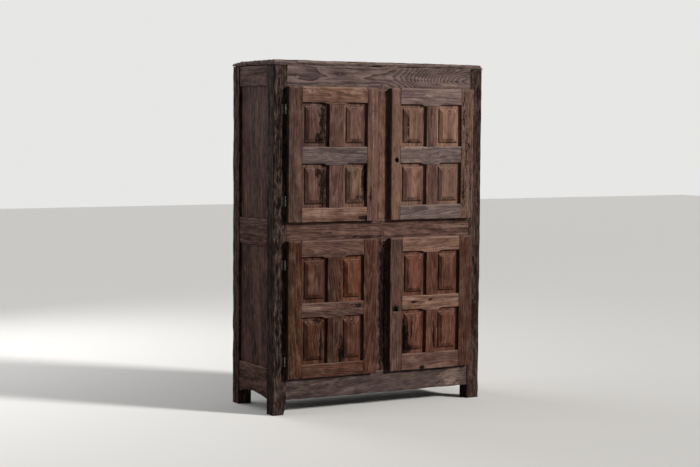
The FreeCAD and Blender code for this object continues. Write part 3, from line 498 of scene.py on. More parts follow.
def steps(tree, value, low, high, to_low=0.0, to_high=1.0):
    """Maps a value from low and high to the two results, held at the ends."""
    return add(tree, "MapRange", {0: value, 1: low, 2: high, 3: to_low, 4: to_high}, clamp=True).outputs[0]


def blend_colour(tree, factor, first, second, kind="MIX"):
    """Mixes two colours; the sockets 6 and 7 of a Mix node are its colours."""
    sockets = {"Factor": factor, 6: first, 7: second}
    return add(tree, "Mix", sockets, data_type="RGBA", blend_type=kind).outputs[2]


def group(name, inputs, outputs):
    """Makes a node group and returns it with its input and output nodes."""
    tree = bpy.data.node_groups.new(name, "ShaderNodeTree")
    for in_out, sockets in (("INPUT", inputs), ("OUTPUT", outputs)):
        for socket, kind in sockets:
            tree.interface.new_socket(name=socket, in_out=in_out, socket_type="NodeSocket" + kind)
    return tree, tree.nodes.new("NodeGroupInput").outputs, tree.nodes.new("NodeGroupOutput").inputs


# %% [markdown]
# ## A soft spot
# Every blemish needs a mask on one place of a board. The distance from that place, counted in half
# widths, goes through a bell curve, which gives the round mask of a knot or a swirl. Noise that runs
# with the grain frays the same bell into a ragged one for rot and pale patches.

# %% Soft spot as a node group
FRAY = 3.0
SPOT, given, result = group(
    "Soft spot",
    (("Vector", "Vector"), ("Grain", "Vector"), ("Place", "Vector"), ("Narrow", "Vector"),
     ("Amount", "Float")),
    (("Round", "Float"), ("Ragged", "Float")))
away = vector_math(SPOT, "SUBTRACT", given["Vector"], given["Place"])
away = vector_math(SPOT, "MULTIPLY", away, given["Narrow"])
away = add(SPOT, "VectorMath", {0: away}, operation="LENGTH").outputs[1]
squared = math_node(SPOT, "MULTIPLY", away, away)
bell = math_node(SPOT, "POWER", math.e, math_node(SPOT, "MULTIPLY", squared, -1.0))
bell = math_node(SPOT, "MULTIPLY", bell, given["Amount"])
SPOT.links.new(bell, result["Round"])
fray = math_node(SPOT, "SUBTRACT", noise(SPOT, given["Grain"], 150, 34, 5.0, 0.7), 0.5)
fray = math_node(SPOT, "ADD", bell, math_node(SPOT, "MULTIPLY", fray, FRAY))
fray = math_node(SPOT, "MULTIPLY", steps(SPOT, fray, 0.3, 0.55), steps(SPOT, bell, 0.05, 0.3))
SPOT.links.new(fray, result["Ragged"])

# %% [markdown]
# ## The old wood group
# One group draws every board. The grain runs along its Z. Growth rings are rings round a pith that
# lies behind the board, so a tilted board shows the pointed arches of flat-sawn wood for free.
# Everything else is noise at its own size, long along the grain. Each noise is cut to a mask, and the
# masks lay a colour over the wood one after another: stains and bleached patches first, then rings and
# fibres, tatters, rubbed arrises with their painted highlights and streaks, and at last dirt with painted
# shade, knots, rot and worm holes. Tables keep all these sizes and limits in sight, so that they can be
# tuned side by side.

# %% Patterns of old wood
# Each noise has its lumps to a metre across the grain and along it, its detail and its roughness.
NOISES = {
    "fibres": (480, 9, 3.0, 0.6), "threads": (260, 6, 3.0, 0.62), "bands": (110, 1.6, 3.0, 0.6),
    "streaks": (62, 2.4, 4.0, 0.66), "drift": (18, 1.4, 3.0, 0.6), "hue": (21, 4.2, 2.0, 0.5),
    "blotch": (46, 3.2, 4.0, 0.64), "stain": (27, 13.0, 4.0, 0.6), "tatters": (92, 21.0, 4.0, 0.66),
    "worm_patch": (11, 5.0, 2.0, 0.5),
}
# Each mask reads a pattern between two limits. It is scaled by an input of the group or by another
# mask, where one is named, and runs from 0 to 1 unless its row ends with other values.
MASKS = {
    "worm_patch": ("worm_patch", None, 0.56, 0.66),
    "worms": ("worm_cells", "worm_patch", 0.05, 0.085, 1.0, 0.0),
    "pale_stain": ("stain", None, 0.5, 0.68, 0.0, 0.55),
    "dark_stain": ("stain", None, 0.34, 0.48, 0.45, 0.0),
    "dark_blotch": ("blotch", None, 0.46, 0.68, 0.0, 0.6),
    "dark_band": ("bands", None, 0.44, 0.66, 0.0, 0.34),
    "bleach": ("blotch", "Pale", 0.38, 0.6, 0.85, 0.1),
    "pale_ring": ("rings", "Figure", 0.08, 0.4, 0.5, 0.0),
    "figure": ("rings", "Figure", 0.45, 0.95),
    "dark_fibre": ("fibres", "Fibre", 0.45, 0.68),
    "pale_fibre": ("threads", "Fibre", 0.54, 0.74),
    "pale_tatter": ("tatters", "Streaks", 0.36, 0.47, 0.7, 0.0),
    "black_tatter": ("tatters", "Streaks", 0.52, 0.62, 0.0, 0.9),
    "streak": ("streaks", "Streaks", 0.50, 0.66),
    # Rubbed arrises, paler where they look up as a painted highlight.
    "rubbed_and_highlit": ("blotch", "Worn", 0.36, 0.58),
    # Dirt together with painted shade, in inner corners and on leaning bevels.
    "dirt_and_painted_shade": ("streaks", "Grime", 0.3, 0.6, 0.2, 0.6),
    "rotten": ("threads", "Rot", 0.54, 0.72, 1.0, 0.4),
}
# The masks in the order that they colour the wood, and how deep some of them sink it.
LAYERS = (
    ("pale_stain", "pale"), ("dark_stain", "Dark"), ("dark_blotch", "Dark"), ("dark_band", "Dark"),
    ("bleach", "bleached"), ("pale_ring", "pale"), ("figure", "Dark"), ("dark_fibre", "Dark"),
    ("pale_fibre", "pale"), ("pale_tatter", "pale"), ("pale_wear_and_highlight", "pale"), ("streak", "near_black"),
    ("black_tatter", "near_black"), ("dirt_and_painted_shade", "near_black"), ("knot_heart", "near_black"),
    ("rotten", "near_black"), ("worms", "near_black"))
SINKS = (("figure", 0.3), ("dark_fibre", 0.5), ("streak", 0.8), ("black_tatter", 0.6), ("worms", 1.0),
         ("rotten", 0.9), ("bands", 0.3))
# PUSH is how far a full knot or swirl pushes the rings aside, and WORM_HOLES how many fit in a metre.
PUSH = 75 * MM
WORM_HOLES = 42.0
print("masks:", len(MASKS), "layers:", len(LAYERS))

# %% [markdown]
# ## From tables to nodes
# Real rings waver, so their place is shifted twice by noise, in slow sways and in small ones, and
# pushed aside at knots and swirls. The other patterns read the plain place. The worm holes come from
# the cells of a Voronoi texture, and only where a patch of noise lets them.

# %% Old wood as a node group
WOOD, given, result = group(
    "Old wood",
    (("Vector", "Vector"), ("Light", "Color"), ("Middle", "Color"), ("Dark", "Color"), ("Rings", "Float"),
     ("Figure", "Float"), ("Fibre", "Float"), ("Streaks", "Float"), ("Worn", "Float"), ("Grime", "Float"),
     ("Bend", "Float"), ("Knot", "Float"), ("Rot", "Float"), ("Pale", "Float")),
    (("Color", "Color"), ("Roughness", "Float"), ("Height", "Float")))


def shifted(tree, vector, across, along, amount):
    """Moves a place sideways by noise, so that rings waver."""
    settings = {"Vector": stretch(tree, vector, across, along), "Scale": 1.0, "Detail": 2.0}
    sway = vector_math(tree, "SUBTRACT", add(tree, "TexNoise", settings).outputs[1], (0.5, 0.5, 0.5))
    sway = vector_math(tree, "MULTIPLY", sway, (amount, amount, 0.0))
    return vector_math(tree, "ADD", vector, sway)


bent = shifted(WOOD, shifted(WOOD, given["Vector"], 7, 1.6, 0.06), 34, 6.0, 0.008)
pushed = math_node(WOOD, "MULTIPLY", math_node(WOOD, "ADD", given["Knot"], given["Bend"]), PUSH)
bent = vector_math(WOOD, "ADD", bent, add(WOOD, "CombineXYZ", {1: pushed}).outputs[0])
patterns = {name: noise(WOOD, given["Vector"], *sizes) for name, sizes in NOISES.items()}
growth = {"Vector": bent, "Scale": given["Rings"], "Distortion": 0.6, "Detail": 2.0}
patterns["rings"] = add(WOOD, "TexWave", growth, wave_type="RINGS", rings_direction="Z",
                        wave_profile="SAW").outputs[1]
holes = {"Vector": given["Vector"], "Scale": WORM_HOLES, "Randomness": 1.0}
patterns["worm_cells"] = add(WOOD, "TexVoronoi", holes).outputs[0]

masks = {}
for name, (pattern, scale, *limits) in MASKS.items():
    masks[name] = steps(WOOD, patterns[pattern], *limits)
    if scale:
        scale = masks[scale] if scale in masks else given[scale]
        masks[name] = math_node(WOOD, "MULTIPLY", masks[name], scale)
# The rubbed arrises and their painted highlights are laid on as a pale paint.
masks["pale_wear_and_highlight"] = steps(WOOD, masks["rubbed_and_highlit"], 0.2, 1.0, 0.0, 0.75)
masks["knot_heart"] = steps(WOOD, given["Knot"], 0.58, 0.95, 0.0, 0.9)

# %% [markdown]
# ## Laying on the colours
# Light and middle tone drift into each other, some places a little colder and some warmer, and every
# mask mixes its paint over what is there. The same masks sink the surface: streaks, holes and
# rotten wood lie deeper than sound fibres, and dry fibres are rougher.

# %% Colour, roughness and height of old wood
paints = {
    "Dark": given["Dark"],
    "near_black": blend_colour(WOOD, 0.8, given["Dark"], (0.0035, 0.0022, 0.002, 1)),
    "pale": blend_colour(WOOD, 0.3, given["Light"], (0.42, 0.31, 0.25, 1)),
    "bleached": blend_colour(WOOD, 0.65, given["Light"], (0.44, 0.30, 0.23, 1)),
}
colour = blend_colour(WOOD, steps(WOOD, patterns["drift"], 0.36, 0.64), given["Middle"], given["Light"])
cold, warm = (1.0, 0.98, 1.06, 1), (1.05, 1.02, 0.95, 1)
tint = blend_colour(WOOD, steps(WOOD, patterns["hue"], 0.36, 0.64), cold, warm)
colour = blend_colour(WOOD, 1.0, colour, tint, "MULTIPLY")
for mask, paint in LAYERS:
    colour = blend_colour(WOOD, masks[mask], colour, paints[paint])
WOOD.links.new(colour, result["Color"])
dry = math_node(WOOD, "ADD", patterns["fibres"], masks["streak"])
WOOD.links.new(steps(WOOD, dry, 0.3, 1.2, 0.52, 0.82), result["Roughness"])
height = math_node(WOOD, "MULTIPLY", patterns["fibres"], 0.35)
for name, depth in SINKS:
    sunk = math_node(WOOD, "MULTIPLY", masks[name] if name in masks else patterns[name], depth)
    height = math_node(WOOD, "SUBTRACT", height, sunk)
WOOD.links.new(height, result["Height"])
print("old wood group:", len(WOOD.nodes), "nodes")

# %% [markdown]
# ## A finish for each board
# A board's own material holds the shader, its three colours and one Mapping node. The Mapping node
# turns the board's grain onto the group's Z, tilts it a little so that the arches open, and moves
# its middle next to the pith at a place that no other board uses. Blemishes add their spots, each to
# the input of the group that its kind names.

# %% Finishing a board
TURN = {0: Euler((0, math.radians(90), 0)), 1: Euler((math.radians(90), 0, 0)), 2: Euler((0, 0, 0))}
# Which mask of the soft spot each kind of blemish takes, and the input that it goes to.
SPOT_OF = {"swirl": ("Round", "Bend"), "knot": ("Round", "Knot"),
           "rot": ("Ragged", "Rot"), "pale": ("Ragged", "Pale")}
DULL = 0.03


def wood(name, tone, grain, middle, seed, figure=0.45, fibre=0.3, streaks=0.12, rings=38.0, bump=0.6 * MM,
         tilt=2.5, pith=0.07, gain=1.0):
    """Makes a board's material.

    figure, fibre and streaks are strengths, rings how close the rings lie, bump how deep the grain is,
    tilt the lean of the grain in degrees, pith its distance behind the board, and gain scales the tone.
    """
    material = bpy.data.materials.new(name)
    material.use_nodes = True
    tree = material.node_tree
    shader = tree.nodes["Principled BSDF"]
    lean = Euler((math.radians(tilt), math.radians(tilt * math.sin(seed * 1.3)), 0.9 * math.sin(seed * 1.9)))
    turn = lean.to_matrix() @ TURN[grain].to_matrix()
    place = Vector((0.03 * math.sin(seed), pith, seed * 1.37)) - turn @ middle
    where = add(tree, "TexCoord").outputs["Object"]
    settings = {"Vector": where, "Location": place, "Rotation": turn.to_euler()}
    mapped = add(tree, "Mapping", settings).outputs[0]
    light, mid, dark = (tuple(min(1, c * gain) for c in linear(*shade)[:3]) + (1,) for shade in TONES[tone])
    # One attribute holds the wear with its painted highlight, the other the dirt with its painted shade.
    worn, grime = (add(tree, "Attribute", attribute_name=kept, attribute_type="GEOMETRY").outputs["Fac"]
                   for kept in ("worn", "grime"))
    boards_wood = add(tree, "Group", {"Vector": mapped, "Worn": worn, "Grime": grime}, node_tree=WOOD)
    values = {"Light": light, "Middle": mid, "Dark": dark, "Rings": rings, "Figure": figure, "Fibre": fibre,
              "Streaks": streaks}
    for socket, value in values.items():
        boards_wood.inputs[socket].default_value = value
    found = {}
    for kind, x, z, half_x, half_z, amount in BLEMISHES.get(name.removesuffix("_wood"), ()):
        shape, socket = SPOT_OF[kind]
        settings = {"Vector": where, "Grain": mapped, "Place": (x, 0, z),
                    "Narrow": (1 / half_x, 0, 1 / half_z), "Amount": amount}
        mask = add(tree, "Group", settings, node_tree=SPOT).outputs[shape]
        found[socket] = math_node(tree, "MAXIMUM", found[socket], mask) if socket in found else mask
    for socket, mask in found.items():
        tree.links.new(mask, boards_wood.inputs[socket])
    tree.links.new(boards_wood.outputs["Color"], shader.inputs["Base Color"])
    tree.links.new(boards_wood.outputs["Roughness"], shader.inputs["Roughness"])
    bumped = add(tree, "Bump", {"Height": boards_wood.outputs["Height"], "Distance": bump, "Strength": 1.0})
    tree.links.new(bumped.outputs[0], shader.inputs["Normal"])
    shader.inputs["Specular IOR Level"].default_value = DULL
    return material


def dress(board, tone, grain, seed, slot, **finish):
    board.data.materials.append(wood(board.name + "_wood", tone, grain, centre(board), seed, **finish))


# %% [markdown]
# ## The corner posts
# The four posts carry the cupboard and have stood outdoors for longest: deep ridges, bitten arrises
# and a skyline that is nowhere straight. Their inner faces bear on rails and doors, so the wear is
# held back there and at the feet.

# %% Posts
post_wear = wear_layers(2.6, 3.2, 3.6, 11 * MM, 12, sway_length=0.16, swell=0.5)
# A face looks along an axis where its normal has more than FACING of it. The doors cover the front
# posts up to UNDER_DOOR from the middle of the cupboard.
FACING = 0.7
UNDER_DOOR = 0.600
FOOT = 2 * MM


def post_hold(side, front):
    """Full weather on the two outer faces, little on faces that bear on rails, none at foot and head."""
    def hold(place, normal):
        if abs(normal.z) > FACING or place.z < FOOT:
            return 0.0, 0.0
        inward = normal.x * side < -FACING or normal.y * front < -FACING
        behind_door = front < 0 and abs(place.x) < UNDER_DOOR
        return (0.12, 0.45) if inward or behind_door else (1.0, 1.0)
    return hold


# Each row gives the node, left or right, front or rear, the seed, the streaks and the gain.
POSTS = (("front_left_post", -1, -1, 3.1, 0.7, 0.3), ("front_right_post", 1, -1, 5.7, 0.35, 0.5),
         ("rear_left_post", -1, 1, 8.3, 0.7, 0.8), ("rear_right_post", 1, 1, 9.9, 0.7, 0.8))
for node, side, front, seed, streak_depth, gain in POSTS:
    post, = boards_of(node, [node + "_timber"])
    if node == "front_left_post":
        chip(post, (-0.582, 0, 0.055), (0.96, 0, -0.28))
    finish_board(post, 2, (4.5 * MM, 4.5 * MM, 12 * MM), 4 * MM, post_wear, seed, post_hold(side, front),
                 12 * MM, both=True)
    dress(post, "umber", 2, seed, "weathered_post_wood", fibre=1.0, streaks=streak_depth, rings=34.0,
          bump=1.8 * MM, gain=gain)
    print(post.name, len(post.data.polygons), "faces")

# %% [markdown]
# ## The face frame
# Three rails and two short posts make the face that the doors close against. They are planed
# boards with their grain along their length, worn less than the posts. The top rail's pith lies
# further behind it than the others', so its swirl draws the rings out into chevrons.

# %% Front rails and centre posts
face_wear = wear_layers(0.9, 1.0, 3.0)


def face_hold(place, normal):
    """Keeps the ends tight against the posts, and the hidden back plain."""
    return (0.12, 0.2) if normal.y > FACING or abs(normal.x) > FACING else (1.0, 0.8)


# Each row gives the node, the grain, the tone, the seed, the strengths of the figure and the streaks,
# the tilt in degrees, the pith's distance, the rings and the gain.
FACE = (("front_top_rail", 0, "grey", 3.307, 0.8, 0.22, 1.0, 0.21, 44.0, 1.06),
        ("front_middle_rail", 0, "warm", 4.4, 0.5, 0.35, 1.5, 0.07, 34.0, 1.0),
        ("front_bottom_rail", 0, "grey", 6.1, 0.35, 0.18, 3.0, 0.07, 34.0, 0.56),
        ("upper_centre_post", 2, "warm", 7.9, 0.35, 0.4, 2.0, 0.07, 34.0, 1.3),
        ("lower_centre_post", 2, "warm", 1.7, 0.3, 0.5, 2.0, 0.07, 34.0, 0.8))
for node, grain, tone, seed, figure_depth, streak_depth, tilt, pith, ring_scale, gain in FACE:
    board, = boards_of(node, [node + "_timber"])
    finish_board(board, grain, pitch_along(grain, 10 * MM, 4.5 * MM), 1.5 * MM, face_wear, seed, face_hold)
    dress(board, tone, grain, seed, "frame_wood", figure=figure_depth, fibre=0.4, streaks=streak_depth,
          tilt=tilt, pith=pith, rings=ring_scale, gain=gain)
    print(board.name, len(board.data.polygons), "faces")

# %% [markdown]
# ## The sides and the top
# Each side is framed as the doors are, with three rails and two plain boards between them, and worn
# as the face is. The top is three broad boards that run over the carcass.

# %% Side frames and top boards
for side, seed in (("left", 11.3), ("right", 13.7)):
    for level, step in (("bottom", 0.0), ("middle", 0.7), ("top", 1.9)):
        node = f"{side}_{level}_rail"
        rail, = boards_of(node, [node + "_timber"])
        finish_board(rail, 1, (6 * MM, 11 * MM, 5 * MM), 2 * MM, face_wear, seed + step, thick=0)
        dress(rail, "umber", 1, seed + step, "frame_wood", figure=0.35, streaks=0.5, gain=1.2)
    node = f"{side}_side_panels"
    for number, board in enumerate(boards_of(node, [f"{side}_lower_side_board", f"{side}_upper_side_board"])):
        finish_board(board, 2, (7 * MM, 7 * MM, 16 * MM), 1.5 * MM, face_wear, seed + 3 + number, thick=0)
        dress(board, "umber", 2, seed + 3 + number, "frame_wood", figure=0.35, streaks=0.4, gain=1.2)

top_wear = wear_layers(2.0, 3.0, 3.6, 7 * MM, 22, swell=0.55)
names = ["front_top_board", "middle_top_board", "rear_top_board"]
for number, board in enumerate(boards_of("top_boards", names)):
    if number == 0:
        chip(board, (0.645, -0.24, 1.900), (0.75, -0.30, 0.60))
    if number == 2:
        chip(board, (-0.668, 0.265, 1.888), (-0.05, 0.08, 0.995))
    finish_board(board, 0, (12 * MM, 4 * MM, 3.5 * MM), 3 * MM, top_wear, 15.1 + number,
                 reach=12 * MM, thick=2)
    dress(board, ("grey", "warm", "grey")[number], 0, 15.1 + number, "frame_wood", fibre=0.9, streaks=0.6)

# %% [markdown]
# ## The doors
# A door is a frame of two stiles and three rails, a short muntin in each half, and four raised
# panels in grooves. The tones of the boards are set one by one, because the doors were made up from
# what was to hand; the lower doors are mostly set darker, partly for their wood and partly as painted
# shade where the light falls off towards the floor. The outside of a door is rubbed round, and its
# joints stay tight.

# %% Doors
door_wear = wear_layers(0.5, 0.7, 2.4, 7 * MM, 16)
panel_wear = wear_layers(0.4, 0.45, 1.0, 7 * MM, 16)
# Tones of the stiles, rails, muntins and panels, then gains. Stiles run from the hinge to the free
# side, and the others from below upwards and from left to right.
DOORS = {
    "upper_left": ("warm warm", "tan slate tan", "warm warm", "warm tan warm warm",
                   "0.66 1.17 1.0 0.98 0.96 1.0 1.0", "1.0 0.84 0.92 1.3"),
    "upper_right": ("tan tan", "slate slate grey", "warm warm", "tan tan tan tan",
                    "0.9 0.94 1.38 1.4 1.33 1.08 1.08", "1.08 0.93 1.15 1.45"),
    # The lower doors' gains are mostly lower: partly their own darker wood, partly painted shade where the
    # light falls off towards the floor.
    "lower_left": ("orange red", "red warm warm", "red red", "orange red red orange",
                   "0.47 0.62 0.62 0.76 0.87 0.42 0.46", "0.6 0.76 0.57 1.02"),
    "lower_right": ("red warm", "warm tan tan", "red red", "red red red red",
                    "0.56 0.78 1.05 1.1 1.1 0.9 0.82", "0.98 0.89 1.06 0.92"),
}
FIRST_SEED, SEED_PER_DOOR, SEED_STEP = 21.4, 7.3, 0.37
RIM = 9 * MM
PLANED = {"fibre": 0.35, "streaks": 0.16}
WEATHERED = {"fibre": 0.6, "streaks": 0.45}


def door_hold(lo, hi):
    """The back is plain; arrises on the door's outside are rubbed, and those at its joints stay crisp."""
    def hold(place, normal):
        if normal.y > FACING:
            return 0.4, 0.4
        rim = min(place.x - lo.x, hi.x - place.x, place.z - lo.z, hi.z - place.z) < RIM
        return 1.0, 1.0 if rim else 0.3
    return hold


def panel_hold(place, normal):
    return (0.4, 0.4) if normal.y > FACING else (1.0, 1.0)


def door_box(door):
    """The box round a door's two stiles, which is the door's own."""
    stiles = [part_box(f"{door}_{part}_stile") for part in ("hinge", "free")]
    (lo, _), (_, hi) = sorted(stiles, key=lambda box: box[0].x)
    return lo, hi


for count, (door, (stiles, rails, muntins, panels, frame_gains, panel_gains)) in enumerate(DOORS.items()):
    seed = FIRST_SEED + SEED_PER_DOOR * count
    rim = door_box(door)
    gains = [float(gain) for gain in frame_gains.split()]
    sets = (("hinge_stile", ["hinge_stile_board"], 2, stiles.split()[:1]),
            ("free_stile", ["free_stile_board"], 2, stiles.split()[1:]),
            ("rails", ["bottom_rail_board", "middle_rail_board", "top_rail_board"], 0, rails.split()),
            ("muntins", ["lower_muntin_board", "upper_muntin_board"], 2, muntins.split()))
    for part, names, grain, tones in sets:
        for board, tone in zip(boards_of(f"{door}_{part}", [f"{door}_{name}" for name in names]), tones):
            seed += SEED_STEP
            finish_board(board, grain, pitch_along(grain, 9 * MM, 4 * MM), 0.8 * MM, door_wear, seed,
                         door_hold(*rim), rim=rim, rim_radius=2.6 * MM, both="stile" in part)
            face = WEATHERED if board.name == "upper_right_hinge_stile_board" else PLANED
            dress(board, tone, grain, seed, "door_frame_wood", gain=gains.pop(0), **face)
    names = [f"{door}_{half}_{side}_panel_board" for half in ("lower", "upper") for side in ("left", "right")]
    for board, tone, gain in zip(boards_of(f"{door}_panels", names), panels.split(), panel_gains.split()):
        seed += SEED_STEP
        # The panels' leaning bevels get dirt and painted shade, least where they look up.
        finish_board(board, 2, (4 * MM, 6 * MM, 8 * MM), 0.8 * MM, panel_wear, seed, panel_hold, 5 * MM,
                     slope_dirt_and_shade=7.0, least=15)
        dress(board, tone, 2, seed, "door_panel_wood", figure=0.35, gain=float(gain))
    print(door, "door dressed")

# %% [markdown]
# ## The back and the inside
# The back boards, shelves, floor and runners are plain sawn wood that never saw wax. They show when
# a door stands open or from behind, so they get their own boards too, with a coarser net.

# %% Plain boards
plain_wear = wear_layers(0.5, 0.5, 2.0)
# Each row gives the node, its number of boards, their grain and the axis through their thickness.
INSIDE = (("back_boards", 6, 2, 1), ("rear_rails", 3, 0, 1), ("floor_boards", 2, 0, 2),
          ("lower_shelf", 2, 0, 2), ("middle_shelf", 2, 0, 2), ("upper_shelf", 2, 0, 2))
seed = 61.3
for node, number, grain, thick in INSIDE:
    for board in boards_of(node, [f"{node}_piece_{index + 1}" for index in range(number)]):
        seed += 0.53
        pitch = pitch_along(grain, 18 * MM, 9 * MM)
        finish_board(board, grain, pitch, 1.5 * MM, plain_wear, seed, thick=thick)
        dress(board, "plain", grain, seed, "plain_inside_wood", figure=0.35, streaks=0.2, gain=0.9)

# %% [markdown]
# ## Runners and ironwork
# Small parts whose CAD shape is right stay as they are and only get a finish. The iron is dark and
# rough where it lay against the wood, and the knuckles are painted bright, partly as metal worn where
# it turns and partly as a painted highlight. The lines of the hinges stand equally far from the middle,
# so one distance from them picks out every knuckle.

# %% Finishes for the parts that stay
HINGE_X, HINGE_Y, KNUCKLE = 0.5945, -0.24125, 4.8 * MM


def iron(name):
    """Forged iron: rust in patches, pits, and knuckles round the hinges' lines painted bright, partly as worn
    metal and partly as a painted highlight.
    """
    material = bpy.data.materials.new(name)
    material.use_nodes = True
    tree = material.node_tree
    shader = tree.nodes["Principled BSDF"]
    where = add(tree, "TexCoord").outputs["Object"]
    apart = add(tree, "SeparateXYZ", {0: where}).outputs
    off_x = math_node(tree, "SUBTRACT", math_node(tree, "ABSOLUTE", apart[0]), HINGE_X)
    off_y = math_node(tree, "SUBTRACT", apart[1], HINGE_Y)
    squares = [math_node(tree, "MULTIPLY", side, side) for side in (off_x, off_y)]
    off = math_node(tree, "SQRT", math_node(tree, "ADD", *squares))
    rust = add(tree, "TexNoise", {"Vector": where, "Scale": 160.0, "Detail": 4.0}).outputs[0]
    pits = add(tree, "TexNoise", {"Vector": where, "Scale": 700.0, "Detail": 3.0}).outputs[0]
    knuckle = steps(tree, off, KNUCKLE, KNUCKLE * 1.15, 1.0, 0.0)
    # The knuckles are painted bright and smooth: partly metal worn where it turns, partly a painted
    # highlight.
    worn_metal_and_highlight = math_node(tree, "MULTIPLY", knuckle, steps(tree, rust, 0.35, 0.6, 1.0, 0.35))
    colour = blend_colour(tree, steps(tree, rust, 0.45, 0.62), linear(44, 40, 38), linear(62, 44, 34))
    colour = blend_colour(tree, worn_metal_and_highlight, colour, linear(142, 135, 127))
    tree.links.new(colour, shader.inputs["Base Color"])
    tree.links.new(steps(tree, worn_metal_and_highlight, 0.0, 1.0, 0.62, 0.34), shader.inputs["Roughness"])
    tree.links.new(steps(tree, rust, 0.5, 0.7, 0.95, 0.4), shader.inputs["Metallic"])
    bumped = add(tree, "Bump", {"Height": pits, "Distance": 0.4 * MM, "Strength": 0.8})
    tree.links.new(bumped.outputs[0], shader.inputs["Normal"])
    return material


DARK_IRON = iron("dark_iron")
for node, piece in frame["nodes"].items():
    if any(word in node for word in ("leaves", "pins", "lock_")):
        piece.data.materials.clear()
        piece.data.materials.append(DARK_IRON)
runners = frame["nodes"]["shelf_runners"]
runners.data.materials.clear()
runners.data.materials.append(wood("shelf_runners_wood", "plain", 1, centre(runners), 71.7))

# %% [markdown]
# ## Pegs at the worn surface
# The pegs that lock the joints were cut flush when the face was new. The face has worn back since, so
# the pegs are set in by the same depth, their arrises are eased, and their ends take the posts' dark tone.

# %% Sinking the pegs
PEG_SINK = 3 * MM
pegs, = boards_of("frame_pegs", ["sunk_frame_pegs"])
ease(pegs, 0.6 * MM)
bpy.ops.object.mode_set(mode="EDIT")
bpy.ops.mesh.select_all(action="SELECT")
bpy.ops.transform.translate(value=(0, PEG_SINK, 0))
bpy.ops.object.mode_set(mode="OBJECT")
mark(pegs, 3 * MM, bare, ())
bpy.ops.object.shade_smooth_by_angle(angle=SMOOTH)
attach(pegs, BODY_OF["frame_pegs"])
dress(pegs, "umber", 1, 73.1, "frame_wood")

# %% [markdown]
# ## The floor and the surroundings
# The cupboard stands on a plain floor before a plain wall. Both are pale for the camera and darker for
# the rays that light the wood, so that they fill its shadows a little and no more.

# %% Floor and surroundings
FLOOR_SIZE = 40
FLOOR_SEEN, FLOOR_LIT = (0.9, 0.89, 0.87, 1), (0.22, 0.215, 0.21, 1)
WALL_SEEN, SKY_LIGHT, SKY_STRENGTH = (0.8, 0.8, 0.79, 1), (0.8, 0.81, 0.83, 1), 0.13
bpy.ops.mesh.primitive_plane_add(size=FLOOR_SIZE, location=(0, 0, 0))
floor = bpy.context.object
floor.name = "floor"
floor_finish = bpy.data.materials.new("pale_floor")
floor_finish.use_nodes = True
ground = floor_finish.node_tree
ground.nodes["Principled BSDF"].inputs["Roughness"].default_value = 0.8
looked_at = add(ground, "LightPath").outputs["Is Camera Ray"]
ground_colour = blend_colour(ground, looked_at, FLOOR_LIT, FLOOR_SEEN)
ground.links.new(ground_colour, ground.nodes["Principled BSDF"].inputs["Base Color"])
floor.data.materials.append(floor_finish)

world = bpy.data.worlds.new("studio")
bpy.context.scene.world = world
world.use_nodes = True
sky = world.node_tree
sky.nodes["Background"].inputs["Color"].default_value = SKY_LIGHT
sky.nodes["Background"].inputs["Strength"].default_value = SKY_STRENGTH
seen = add(sky, "LightPath")
seen_rays = math_node(sky, "MAXIMUM", seen.outputs["Is Camera Ray"], seen.outputs["Is Glossy Ray"])
seen_rays = math_node(sky, "MAXIMUM", seen_rays, seen.outputs["Is Transmission Ray"])
pale_wall = add(sky, "Background", {"Color": WALL_SEEN, "Strength": 1.0})
either = add(sky, "MixShader", {0: seen_rays, 1: sky.nodes["Background"].outputs[0], 2: pale_wall.outputs[0]})
sky.links.new(either.outputs[0], sky.nodes["World Output"].inputs["Surface"])

# %% [markdown]
# ## The light
# The picture is lit from the right, so a low soft sun shines from the front right. A weak lamp at the
# left and another behind keep the dark sides readable.

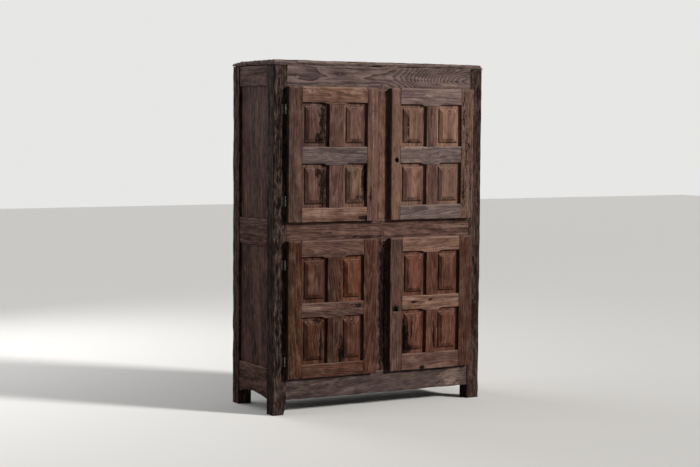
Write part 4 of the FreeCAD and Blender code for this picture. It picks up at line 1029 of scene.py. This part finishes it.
# %% Sun and lamps
def hang(light, place, direction):
    """Puts a light at its place, shining in a direction."""
    holder = bpy.data.objects.new(light.name, light)
    bpy.context.scene.collection.objects.link(holder)
    holder.location = place
    holder.rotation_euler = direction.to_track_quat("-Z", "Y").to_euler()


def lamp(name, place, aim, width, power):
    light = bpy.data.lights.new(name, "AREA")
    light.shape = "SQUARE"
    light.size = width
    light.energy = power
    hang(light, place, Vector(aim) - Vector(place))


sun = bpy.data.lights.new("key", "SUN")
sun.energy = 3.9
sun.angle = math.radians(9)
sun.color = (1.0, 0.98, 0.95)
hang(sun, (0, 0, 0), Vector((-0.90, 1.00, -0.60)))
lamp("side", (-4.2, 1.4, 2.4), (0, 0, 0.9), 2.2, 32)
lamp("back", (-1.5, 3.6, 2.6), (0, 0, 1.0), 2.6, 60)

# %% [markdown]
# ## The camera
# The camera stands to the left at eye height, at the place and angle of the photograph. Its axes are
# worked out from yaw, pitch and roll, which came from fitting the cupboard's corners to the picture.

# %% Camera
YAW, PITCH, ROLL = (math.radians(angle) for angle in (29.709, 3.938, 0.414))
forward = Vector((math.sin(YAW) * math.cos(PITCH), math.cos(YAW) * math.cos(PITCH), -math.sin(PITCH)))
right = Vector((math.cos(YAW), -math.sin(YAW), 0))
down = forward.cross(right)
across = math.cos(ROLL) * right - math.sin(ROLL) * down
upward = -(math.sin(ROLL) * right + math.cos(ROLL) * down)
camera = bpy.data.objects.new("camera", bpy.data.cameras.new("camera"))
bpy.context.scene.collection.objects.link(camera)
turned = [[across[axis], upward[axis], -forward[axis]] for axis in range(3)]
camera.rotation_mode = "QUATERNION"
camera.rotation_quaternion = Matrix(turned).to_quaternion()
camera.location = (-4.524, -7.82275, 1.568)
camera.data.lens = 82.59
camera.data.sensor_width = 36
bpy.context.scene.camera = camera
bpy.context.scene.view_settings.view_transform = "Standard"
print("camera:", camera.data.lens, "mm lens")

# %% [markdown]
# ## Counting the pieces
# The grain guide is removed, and the faces of all the meshes are counted.

# %% Removing the guide and counting faces
bpy.data.objects.remove(guide)
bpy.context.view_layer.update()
pieces = [piece for piece in bpy.data.objects if piece.type == "MESH"]
print("faces in all:", sum(len(piece.data.polygons) for piece in pieces))
